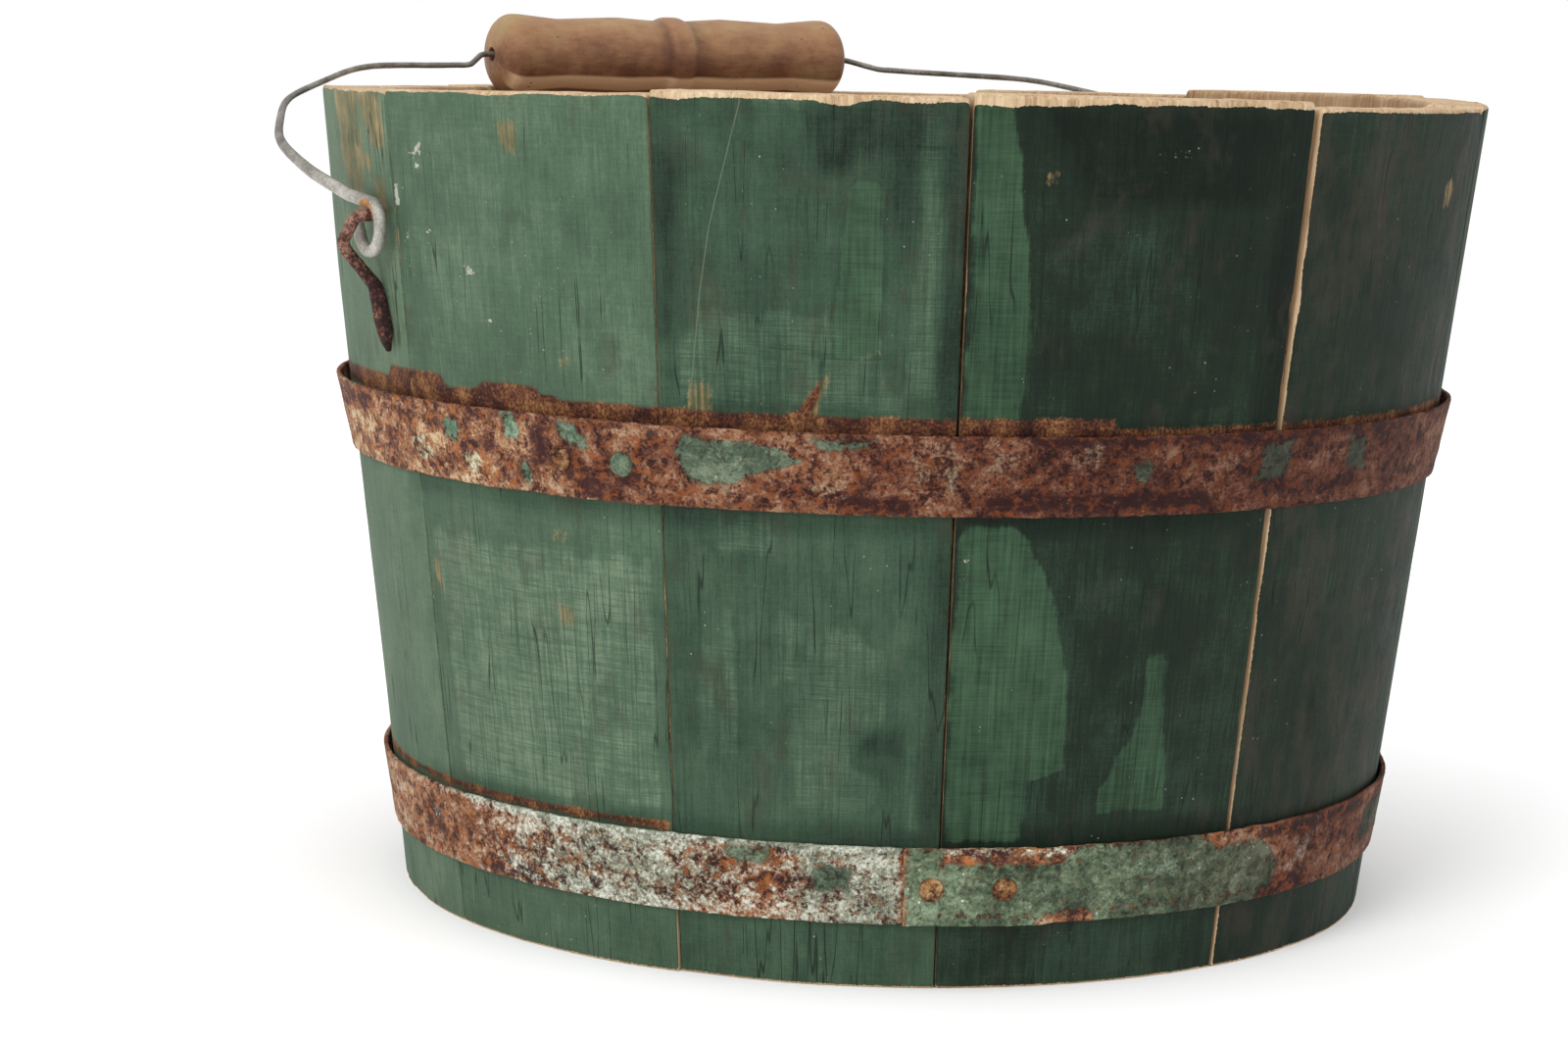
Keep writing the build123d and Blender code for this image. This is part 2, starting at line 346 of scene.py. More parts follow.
def woodColour(tree, where, tones):
    # bare weathered wood: long grain, pores and broad stains
    grain = cloudy(tree, where, (9.0, 9.0, 0.35), 5.0, 0.62)
    pores = cloudy(tree, where, (26.0, 26.0, 1.6), 3.0)
    broad = cloudy(tree, where, (0.5, 0.5, 0.3), 3.0)
    value = swing(tree, grain, pores, 0.5, broad, 0.7)
    return scale(tree, value, tones), grain, pores


paintLook = {
    "ramp": [(0.0, (0.005, 0.009, 0.006)), (0.25, (0.012, 0.022, 0.014)), (0.5, (0.034, 0.064, 0.039)),
             (0.75, (0.070, 0.116, 0.072)), (1.0, (0.150, 0.205, 0.135))],
    "drip": (0.046, 0.096, 0.052),
    "grime": (0.048, 0.038, 0.028),
    "primer": [(0.30, (0.060, 0.080, 0.038)), (0.48, (0.17, 0.125, 0.055)), (0.62, (0.30, 0.195, 0.090)),
               (0.80, (0.42, 0.33, 0.17))],
    "rust": [(0.25, (0.022, 0.009, 0.008)), (0.46, (0.075, 0.026, 0.015)), (0.60, (0.150, 0.060, 0.026)),
             (0.78, (0.28, 0.140, 0.055))],
    "speck": (0.62, 0.60, 0.52),
    "wood": [(0.2, (0.23, 0.135, 0.072)), (0.42, (0.43, 0.295, 0.170)), (0.62, (0.56, 0.415, 0.265)),
             (0.85, (0.68, 0.55, 0.39))],
}


def paintedStaveFinish():
    material, tree, shader = newMaterial("paintedStave")
    wall = place(tree, "wall")
    look = paintLook
    grain = cloudy(tree, wall, (13.0, 3.0, 0.45), 5.0, 0.65)
    hair = cloudy(tree, wall, (45.0, 6.0, 2.2), 3.0, 0.6)
    brush = cloudy(tree, wall, (1.0, 1.0, 26.0), 4.0, 0.65)
    cloud = cloudy(tree, wall, (0.30, 0.5, 0.22), 3.0)
    blotch = cloudy(tree, wall, (1.5, 1.5, 1.1), 4.0, 0.6)
    grit = cloudy(tree, wall, (16.0, 16.0, 14.0), 3.0, 0.6)
    # painted colour: stave tone (the paint's own and painted light), brush lines both ways, clouds
    value = swing(tree, mark(tree, "paintToneAndLight"), cloud, 0.42, blotch, 0.34, grain, 0.30, brush, 0.20, hair, 0.22,
                  grit, 0.22)
    patch = within(tree, swing(tree, mark(tree, "patch"), blotch, 3.0), -1.0, 1.2)
    shade = within(tree, swing(tree, mark(tree, "shade"), blotch, 3.0), -2.0, 2.0)
    weave = times(tree, within(tree, brush, 0.35, 0.6), within(tree, grain, 0.33, 0.6))
    value = calc(tree, "ADD", value, times(tree, patch, within(tree, weave, 0.0, 1.0, 0.06, 0.22)))
    # the shade outlines darken the paint; the band under the upper hoop among them is a painted shadow
    value = calc(tree, "SUBTRACT", value, times(tree, shade, 0.15))
    paint = scale(tree, value, look["ramp"])
    worn = cloudy(tree, wall, (1.1, 1.0, 0.6), 5.0, 0.7)
    browned = calc(tree, "ADD", worn, times(tree, mark(tree, "brown"), 0.22))
    dirty = within(tree, browned, 0.57, 0.84, 0.0, 0.7)
    paint = blend(tree, dirty, paint, look["grime"])
    # runs of fresher green with crisp edges
    edge = swing(tree, mark(tree, "drip"), blotch, 3.0, grain, 1.6, grit, 1.0)
    dripTone = within(tree, swing(tree, grain, brush, 0.7, cloud, 0.8, blotch, 0.6), 0.25, 0.8, 0.45, 1.25)
    dripGreen = blend(tree, 1.0, look["drip"], dripTone, "MULTIPLY")
    paint = blend(tree, times(tree, within(tree, edge, -0.4, 0.7), 0.72), paint, dripGreen)
    lip = calc(tree, "COMPARE", edge, -0.35)
    lip.node.inputs[2].default_value = 0.25
    paint = blend(tree, times(tree, lip, 0.22), paint, (0.015, 0.022, 0.016))
    # chips down to primer and wood
    chip = within(tree, swing(tree, mark(tree, "chip"), grit, 3.4, grain, 2.4, blotch, 4.5), -0.5, 0.9)
    primer = scale(tree, swing(tree, grain, blotch, 1.0), look["primer"])
    paint = blend(tree, times(tree, chip, 0.62), paint, primer)
    # rust washed from the hoops
    stain = within(tree, swing(tree, mark(tree, "stain"), grit, 1.4, blotch, 2.2), -0.25, 0.55)
    rust = scale(tree, swing(tree, grit, blotch, 1.2), look["rust"])
    paint = blend(tree, stain, paint, rust)
    # hairline cracks along the grain
    drift = cloudy(tree, wall, (1.9, 1.0, 0.10), 2.0, 0.4)
    split = calc(tree, "ABSOLUTE", calc(tree, "SUBTRACT", drift, 0.5))
    where = within(tree, cloudy(tree, wall, (0.6, 1.0, 0.45), 2.0), 0.50, 0.60)
    crack = times(tree, within(tree, split, 0.002, 0.0065, 1.0, 0.0), where)
    paint = blend(tree, times(tree, crack, 0.7), paint, (0.010, 0.014, 0.011))
    scratch = within(tree, calc(tree, "ABSOLUTE", mark(tree, "scratch")), 0.08, 0.20, 1.0, 0.0)
    paint = blend(tree, times(tree, scratch, 0.45), paint, (0.17, 0.20, 0.13))
    # specks of lime and old droppings
    few = within(tree, cloudy(tree, wall, (0.45, 1.0, 0.35), 2.0), 0.50, 0.66)
    small = times(tree, spots(tree, wall, (5.5, 5.5, 5.5), 0.13), few)
    lime = within(tree, swing(tree, mark(tree, "lime"), grit, 2.6, blotch, 1.6), 0.0, 0.25)
    specks = calc(tree, "MAXIMUM", times(tree, small, 0.45), times(tree, lime, 0.55))
    paint = blend(tree, specks, paint, look["speck"])
    # where the paint ends the wood is bare
    bare, _, pores = woodColour(tree, wall, look["wood"])
    # the bare inside face is darker towards the bottom
    lowInsideDark = within(tree, mark(tree, "lowInsideDark"), 0.0, 1.0)
    bare = blend(tree, lowInsideDark, bare, (0.46, 0.31, 0.17), "MULTIPLY")
    cover = within(tree, swing(tree, mark(tree, "paint"), grit, 0.9, grain, 0.7), -0.05, 0.08)
    colour = blend(tree, cover, bare, paint)
    surface(tree, shader, colour, within(tree, swing(tree, blotch, grit, 0.6), 0.2, 0.9, 0.48, 0.78), 0.09)
    height = swing(tree, cover, grain, 1.2, hair, 0.6, grit, 0.5)
    height = swing(tree, height, brush, 0.25, pores, 0.3)
    height = calc(tree, "SUBTRACT", height, times(tree, crack, 1.2))
    height = calc(tree, "ADD", height, times(tree, specks, 0.6))
    height = calc(tree, "ADD", height, times(tree, within(tree, edge, -0.2, 0.25), 0.5))
    relief(tree, shader, height, 0.00022)
    return material


def boardFinish():
    material, tree, shader = newMaterial("bareBoard")
    plank = place(tree, "wall")
    tones = [(0.15, (0.10, 0.062, 0.038)), (0.5, (0.26, 0.17, 0.105)), (0.85, (0.42, 0.31, 0.20))]
    colour, grain, pores = woodColour(tree, plank, tones)
    damp = within(tree, cloudy(tree, plank, (0.6, 0.6, 0.5), 4.0, 0.6), 0.45, 0.7, 0.0, 0.55)
    colour = blend(tree, damp, colour, (0.075, 0.055, 0.042))
    surface(tree, shader, colour, within(tree, grain, 0.2, 0.8, 0.7, 0.92), 0.2)
    relief(tree, shader, swing(tree, grain, pores, 0.6), 0.0005)
    return material


def dowelFinish():
    material, tree, shader = newMaterial("dowelWood")
    where = put(tree, "ShaderNodeTexCoord").outputs["Object"]
    grain = cloudy(tree, where, (60.0, 900.0, 900.0), 4.0)
    tones = [(0.3, (0.24, 0.14, 0.07)), (0.7, (0.46, 0.31, 0.17))]
    surface(tree, shader, scale(tree, grain, tones), within(tree, grain, 0.2, 0.8, 0.6, 0.85))
    relief(tree, shader, grain, 0.0002)
    return material


def hoopFinish(name, look):
    # flat iron: scaly rust, pits, old green paint and lime
    material, tree, shader = newMaterial(name)
    strip = place(tree, "strip")
    scab = cloudy(tree, strip, (2.4, 3.0, 2.6), 5.0, 0.68, 0.6)
    grit = cloudy(tree, strip, (14.0, 14.0, 14.0), 4.0, 0.65)
    pits = cloudy(tree, strip, (5.0, 5.0, 5.0), 4.0, 0.62, 0.6)
    cloud = cloudy(tree, strip, (0.7, 1.0, 1.3), 3.0)
    value = swing(tree, scab, grit, 0.75, pits, 0.55, cloud, 0.8)
    colour = scale(tree, value, look["rust"])
    # dark pits everywhere, and burnt patches where the metal is eaten
    scar = within(tree, swing(tree, mark(tree, "scar"), pits, 6.0, grit, 3.0), -0.2, 0.9)
    dark = within(tree, swing(tree, pits, grit, 0.3, scab, 0.6), 0.32, 0.43, 1.0, 0.0)
    dark = calc(tree, "MAXIMUM", times(tree, dark, 0.8), times(tree, scar, 0.9))
    colour = blend(tree, dark, colour, look["pit"])
    orange = within(tree, cloudy(tree, strip, (3.1, 3.0, 4.2), 4.0, 0.7), 0.51, 0.62, 0.0, 0.8)
    colour = blend(tree, orange, colour, look["orange"])
    # lime and teal remains, then thicker green paint, crazed
    chalky = swing(tree, mark(tree, "pale"), grit, 2.4, pits, 2.8, scab, 3.2)
    chalk = scale(tree, swing(tree, grit, scab, 0.9, cloud, 0.5), look["chalk"])
    colour = blend(tree, within(tree, chalky, -0.25, 0.55), colour, chalk)
    thick = swing(tree, mark(tree, "coat"), scab, 5.5, grit, 2.0, pits, 5.0)
    cover = within(tree, thick, -0.3, 0.5)
    green = scale(tree, swing(tree, scab, grit, 0.6, cloud, 0.8), look["green"])
    cells = put(tree, "ShaderNodeTexVoronoi", {"Vector": strip, "Scale": 1.5}, feature="DISTANCE_TO_EDGE")
    broken = within(tree, scab, 0.42, 0.60, 0.0, 0.75)
    crazed = times(tree, within(tree, swing(tree, cells.outputs[0], pits, 0.26), 0.0, 0.03, 1.0, 0.0), broken)
    green = blend(tree, crazed, green, look["pit"])
    colour = blend(tree, times(tree, cover, 0.88), colour, green)
    flecks = spots(tree, strip, (8.0, 8.0, 8.0), 0.26)
    fleckZone = times(tree, flecks, within(tree, swing(tree, scab, cloud, 0.8), 0.50, 0.62, 0.0, 0.8))
    colour = blend(tree, fleckZone, colour, look["fleck"])
    # painted light and shade: the lit side is lighter, the shaded side darker and redder
    paintedLight = mark(tree, "paintedLight")
    cool = calc(tree, "POWER", paintedLight, 1.35)
    paintedLightColour = put(tree, "ShaderNodeCombineColor", {0: paintedLight, 1: cool, 2: cool}).outputs[0]
    withPaintedLight = blend(tree, 1.0, colour, paintedLightColour, "MULTIPLY")
    surface(tree, shader, withPaintedLight, within(tree, grit, 0.2, 0.8, 0.62, 0.95), 0.2)
    height = swing(tree, times(tree, cover, 0.5), scab, 1.6, grit, 1.3)
    height = calc(tree, "SUBTRACT", swing(tree, height, pits, 1.4), times(tree, dark, 0.5))
    height = calc(tree, "SUBTRACT", height, times(tree, times(tree, crazed, cover), 0.4))
    relief(tree, shader, height, 0.0006)
    return material


def wireFinish():
    # galvanised wire, dulled to grey-white, rust showing in the eyes
    material, tree, shader = newMaterial("galvanisedWire")
    strip = place(tree, "strip")
    cloud = cloudy(tree, strip, (2.0, 2.0, 2.0), 3.0)
    grit = cloudy(tree, strip, (18.0, 18.0, 18.0), 4.0, 0.6)
    tones = [(0.2, (0.07, 0.062, 0.052)), (0.5, (0.15, 0.138, 0.118)), (0.8, (0.30, 0.285, 0.25))]
    chalky = [(0.2, (0.16, 0.145, 0.12)), (0.5, (0.36, 0.34, 0.30)), (0.8, (0.58, 0.56, 0.50))]
    value = swing(tree, cloud, grit, 0.9)
    colour = blend(tree, mark(tree, "lime"), scale(tree, value, tones), scale(tree, value, chalky))
    worn = within(tree, swing(tree, mark(tree, "rust"), grit, 0.9, cloud, 1.0), 0.25, 0.6)
    rustTones = [(0.3, (0.16, 0.055, 0.02)), (0.6, (0.42, 0.19, 0.06)), (0.8, (0.55, 0.36, 0.2))]
    rust = scale(tree, grit, rustTones)
    colour = blend(tree, worn, colour, rust)
    surface(tree, shader, colour, within(tree, worn, 0.0, 1.0, 0.45, 0.9))
    tree.links.new(within(tree, worn, 0.0, 1.0, 0.35, 0.0), shader.inputs["Metallic"])
    relief(tree, shader, swing(tree, grit, cloud, 0.6), 0.00025)
    return material


def stapleFinish():
    material, tree, shader = newMaterial("rustyStaple")
    strip = place(tree, "strip")
    grit = cloudy(tree, strip, (12.0, 12.0, 12.0), 5.0, 0.7)
    scab = cloudy(tree, strip, (3.5, 3.5, 3.5), 4.0, 0.6)
    tones = [(0.30, (0.010, 0.004, 0.005)), (0.47, (0.040, 0.014, 0.012)), (0.57, (0.125, 0.046, 0.030)),
             (0.72, (0.36, 0.20, 0.145))]
    # the rust mark also carries painted light: lighter towards the top
    colour = scale(tree, swing(tree, grit, scab, 0.7, mark(tree, "rust"), 0.28), tones)
    surface(tree, shader, colour, within(tree, grit, 0.2, 0.8, 0.6, 0.95), 0.3)
    relief(tree, shader, swing(tree, grit, scab, 0.8), 0.0010)
    return material


def gripFinish():
    # turned grip, handled brown; painted light makes the top lighter, painted shade makes it darker in the
    # grooves and low down, and painted reflected light gives a pale strip low on the front
    material, tree, shader = newMaterial("turnedGrip")
    strip = place(tree, "strip")
    grain = cloudy(tree, strip, (2.2, 9.0, 9.0), 4.0, 0.6)
    rings = cloudy(tree, strip, (22.0, 2.0, 2.0), 3.0)
    blotch = cloudy(tree, strip, (1.0, 1.3, 1.3), 4.0, 0.6)
    grit = cloudy(tree, strip, (24.0, 24.0, 24.0), 3.0)
    value = swing(tree, 0.50, grain, 0.16, rings, 0.05, blotch, 0.50, grit, 0.12)
    # painted light and shade: the lift mark lightens the top and darkens the low side and the groove
    value = calc(tree, "ADD", value, mark(tree, "lift"))
    tones = [(0.10, (0.055, 0.020, 0.013)), (0.38, (0.155, 0.065, 0.033)), (0.60, (0.32, 0.162, 0.075)),
             (0.92, (0.56, 0.37, 0.20))]
    colour = scale(tree, value, tones)
    tint = within(tree, swing(tree, mark(tree, "tint"), blotch, 2.2), 0.1, 1.0, 0.0, 0.45)
    colour = blend(tree, tint, colour, (0.16, 0.19, 0.09))
    # painted reflected light: the pale strip low on the front
    colour = blend(tree, mark(tree, "pale"), colour, (0.82, 0.55, 0.34))
    nicks = times(tree, spots(tree, strip, (2.5, 4.0, 4.0), 0.16), 0.6)
    colour = blend(tree, nicks, colour, (0.05, 0.025, 0.016))
    surface(tree, shader, colour, within(tree, blotch, 0.2, 0.8, 0.42, 0.66), 0.3)
    relief(tree, shader, swing(tree, grain, rings, 0.4, grit, 0.4), 0.00014)
    return material


# Staves, eleven lattice shells with worn edges

staves = {
    "seams": [20.0, 48.0, 82.0, 116.0, 149.5, 182.4, 215.4, 243.5, 277.0, 312.0, 346.0],
    # height of each stave at its first and last edge
    "tops": [(206.6, 206.3), (204.8, 204.9), (205.6, 205.5), (205.2, 205.5), (206.2, 206.6), (207.0, 208.4),
             (209.4, 209.3), (210.3, 209.6), (208.2, 207.3), (208.0, 208.6), (209.0, 208.2)],
    # paint tone at the foot and at the rim; partly the paint's own, partly painted light that makes the left
    # staves lighter and the right ones darker
    "tones": [(0.42, 0.40), (0.50, 0.46), (0.44, 0.42), (0.54, 0.50), (0.76, 0.90), (0.68, 0.76),
              (0.56, 0.47), (0.32, 0.20), (0.23, 0.22), (0.34, 0.33), (0.42, 0.40)],
    # brown weathering over the green
    "browning": [0.35, 0.25, 0.4, 0.3, 0.1, 0.05, 0.15, 0.1, 0.55, 0.5, 0.4],
    "rimBare": [0.9, 1.0, 1.0, 0.9, 0.1, 0.15, 1.3, 1.7, 0.9, 0.8, 0.9],    # bare wood below the rim
    "gaps": {243.5: (0.4, 0.9), 277.0: (0.7, 2.2)},
    "tightGap": 0.30,
    "bareEdge": {277.0: 0.5},   # more bare wood beside an open seam
    # where the wall leans in near the rim, and a hollow at the foot of one stave
    "lean": {"starts": (148.0, 153.0), "ends": (163.0, 172.0), "from": 150.0, "depth": 1.2},
    "hollow": {"stave": 7, "heights": (8.0, 26.0), "angles": (216.0, 230.0), "depth": 1.1},
    "wear": 0.55,           # usual radius of a worn edge
    "lattice": 1.15,
}
hoopZones = [(nodeSpan(n)[0][2], nodeSpan(n)[1][2]) for n in ("lower_hoop", "upper_hoop")]
board = {
    "under": nodeSpan("bottom_board_middle")[0][2],
    "top": nodeSpan("bottom_board_middle")[1][2],
    "tongue": 7.0,
    "croze": 5.0,
    "joints": [-40.0, 37.0],
}
tongueLow = (board["under"] + board["top"] - board["tongue"]) / 2
tongueHigh = tongueLow + board["tongue"]
farOutside = -8.0

# Marks on the painted wall. Each is an outline from its top down: height, left angle, right angle.
drips = [
    [(190.2, 234.0, 235.4), (188.5, 233.3, 236.2), (184.0, 233.2, 236.3), (172.0, 232.6, 236.5),
     (160.0, 232.0, 236.3), (150.0, 231.9, 236.2)],
    [(210.0, 244.0, 247.0), (198.0, 244.0, 247.9), (187.0, 244.0, 248.4), (175.0, 244.0, 249.0),
     (160.0, 244.0, 249.3), (133.0, 244.0, 249.4)],
    [(112.0, 244.5, 249.0), (108.0, 243.9, 251.0), (100.0, 243.8, 252.3), (92.0, 243.8, 254.0),
     (80.0, 243.8, 254.9), (64.0, 243.8, 256.0), (53.0, 243.8, 256.0), (51.0, 243.8, 252.6),
     (36.0, 243.8, 251.6)],
    [(80.5, 264.5, 265.8), (78.5, 264.0, 266.2), (74.0, 263.9, 266.4), (66.0, 263.7, 266.7),
     (60.5, 263.2, 266.9),
     (57.5, 262.0, 267.0), (52.0, 260.8, 267.3), (47.0, 259.4, 267.6), (42.0, 260.0, 267.8)],
]
patches = [
    [(206.0, 239.4, 240.8), (180.0, 239.4, 241.4), (142.0, 238.6, 241.6)],
    [(90.0, 226.6, 229.2), (74.0, 226.8, 229.2)],
    [(86.0, 231.5, 234.5), (82.0, 229.6, 237.0), (66.0, 228.0, 237.6), (55.0, 228.4, 234.0),
     (51.0, 228.4, 237.0),
     (43.0, 228.2, 236.0)],
    [(81.0, 219.2, 220.4), (55.0, 219.0, 220.5)],
    [(90.0, 221.3, 222.3), (55.0, 221.1, 222.5)],
    [(160.0, 219.5, 231.0), (150.0, 217.5, 236.0), (139.0, 217.5, 238.0)],
    [(112.0, 221.5, 226.0), (104.0, 221.0, 227.0)],
    [(60.0, 240.1, 240.8), (38.0, 240.0, 240.9)],
    [(209.0, 224.4, 229.5), (206.4, 224.6, 229.0)],
    [(100.0, 184.0, 214.0), (40.0, 186.0, 214.0)],
]
shades = [
    [(196.0, 216.0, 218.6), (179.0, 215.9, 217.8), (153.0, 215.8, 216.8)],
    [(209.0, 236.6, 239.2), (186.0, 236.8, 239.2), (172.0, 237.4, 238.8)],
    [(209.0, 241.2, 244.0), (134.0, 241.6, 244.0), (80.0, 241.4, 244.0), (36.0, 241.0, 244.0)],
    [(206.0, 229.6, 237.0), (192.0, 230.6, 233.4)],
    [(62.5, 234.0, 239.4), (57.0, 233.5, 239.0)],
    [(209.0, 273.5, 277.2), (100.0, 273.8, 277.2)],
    # painted shadow: a dark band just under the upper hoop
    [(114.0, 180.0, 276.0), (109.5, 180.0, 276.0)],
    [(39.0, 178.0, 280.0), (35.0, 178.0, 280.0)],
    [(207.0, 250.0, 276.0), (186.0, 254.0, 276.0)],
    [(208.0, 232.0, 243.0), (196.0, 234.0, 243.0)],
]
chips = [
    [(207.0, 176.4, 181.2), (199.0, 177.4, 181.6), (193.0, 179.0, 181.2)],
    [(206.0, 168.0, 176.4), (190.0, 170.0, 176.4), (176.0, 173.0, 175.0)],
    [(191.0, 176.4, 178.6), (187.5, 176.8, 178.2)],
    [(186.0, 178.4, 181.0), (181.0, 178.8, 181.2), (176.0, 179.8, 180.8)],
    [(201.0, 198.9, 201.6), (195.0, 199.4, 201.8), (193.6, 200.4, 201.6)],
    [(87.2, 202.8, 204.8), (82.5, 203.0, 205.0)],
    [(146.2, 205.1, 205.8), (144.6, 205.0, 205.9)],
    [(93.0, 183.6, 184.4), (84.0, 184.6, 185.2)],
    [(104.6, 203.2, 204.2), (103.4, 203.0, 204.4)],
    [(143.0, 218.6, 220.6), (136.0, 218.2, 221.0)],
    [(146.0, 231.0, 231.8), (141.0, 229.8, 231.2), (136.0, 228.6, 230.6)],
    [(193.0, 250.4, 251.2), (190.8, 250.2, 251.0)],
    [(151.6, 235.0, 236.2), (150.4, 234.6, 236.4)],
    [(188.0, 120.0, 123.0), (176.0, 121.0, 122.5)],
    [(96.0, 330.0, 333.0), (88.0, 331.0, 334.0)],
    [(190.0, 300.5, 303.0), (184.0, 301.0, 302.4)],
    [(70.0, 60.0, 64.0), (62.0, 61.0, 63.0)],
]
limes = [
    [(192.2, 186.2, 190.0), (191.7, 186.0, 190.0)],
    [(194.6, 187.6, 188.2), (193.0, 187.5, 188.1)],
    [(190.0, 187.2, 187.8), (188.8, 187.1, 187.8)],
    [(184.6, 182.9, 183.5), (179.0, 182.8, 183.7)],
    [(175.0, 188.0, 188.7), (173.6, 187.9, 188.8)],
    [(173.4, 184.4, 184.9), (171.0, 184.3, 184.9)],
    [(166.2, 193.4, 194.6), (164.4, 193.6, 194.8)],
    [(154.6, 196.2, 196.8), (153.6, 196.1, 196.8)],
    [(104.4, 244.4, 244.9), (103.6, 244.3, 244.9)],
    [(99.8, 244.2, 245.0), (98.8, 244.1, 244.9)],
    [(198.0, 262.0, 263.4), (197.0, 261.8, 263.4)],
    [(24.0, 272.0, 272.8), (20.0, 272.0, 272.9)],
]
stains = [
    [(136.9, 148.0, 258.3), (132.0, 148.0, 258.3)],
    [(134.4, 258.3, 400.0), (132.0, 258.3, 400.0)],
    [(134.4, 20.0, 149.0), (132.0, 20.0, 149.0)],
    [(146.0, 231.0, 231.5), (143.0, 230.3, 231.0), (140.5, 229.6, 230.8), (137.0, 228.4, 230.2)],
    [(139.6, 178.0, 188.0), (136.0, 177.0, 190.0)],
    [(139.4, 195.0, 201.0), (136.0, 192.0, 206.0)],
    [(37.4, 150.0, 215.0), (35.0, 150.0, 215.0)],
]


def outlineField(marks, angle, height, radius):
    # millimetres inside the nearest outline, negative outside
    best = np.full(angle.shape, farOutside)
    for rows in marks:
        levels, left, right = (np.array(column) for column in zip(*rows[::-1]))
        leftEdge = np.radians(angle - np.interp(height, levels, left)) * radius
        rightEdge = np.radians(np.interp(height, levels, right) - angle) * radius
        fromEnds = np.minimum(height - levels[0], levels[-1] - height)
        inside = np.minimum(np.minimum(leftEdge, rightEdge), fromEnds)
        best = np.maximum(best, inside)
    return best


def staveMarks(angle, high, deep, radius):
    turned = np.mod(angle, 360.0)
    wide = 1.2 * bumps(turned * 0.8, high * 0.10, 0.0, 51)
    marks = {
        "drip": outlineField(drips, turned + 0.22 * bumps(turned * 0.3, high * 0.16, 0, 52), high, radius),
        "patch": outlineField(patches, turned + wide * 0.3, high + wide, radius),
        "shade": outlineField(shades, turned + wide * 0.3, high, radius),
        "chip": outlineField(chips, turned, high, radius),
        "stain": outlineField(stains, turned, high, radius),
        "lime": outlineField(limes, turned, high, radius),
        "scratch": hairline(turned, high, radius),
    }
    hidden = deep > 2.5
    for values in marks.values():
        values[hidden] = farOutside
    return marks


def hairline(angle, high, radius):
    # one long slanting crack line on the wide front stave
    course = np.interp(high, [141.0, 164.0, 179.0, 207.0], [218.7, 219.8, 220.8, 223.7])
    away = np.radians(angle - course) * radius
    return np.where(high > 139.0, away, 8.0)


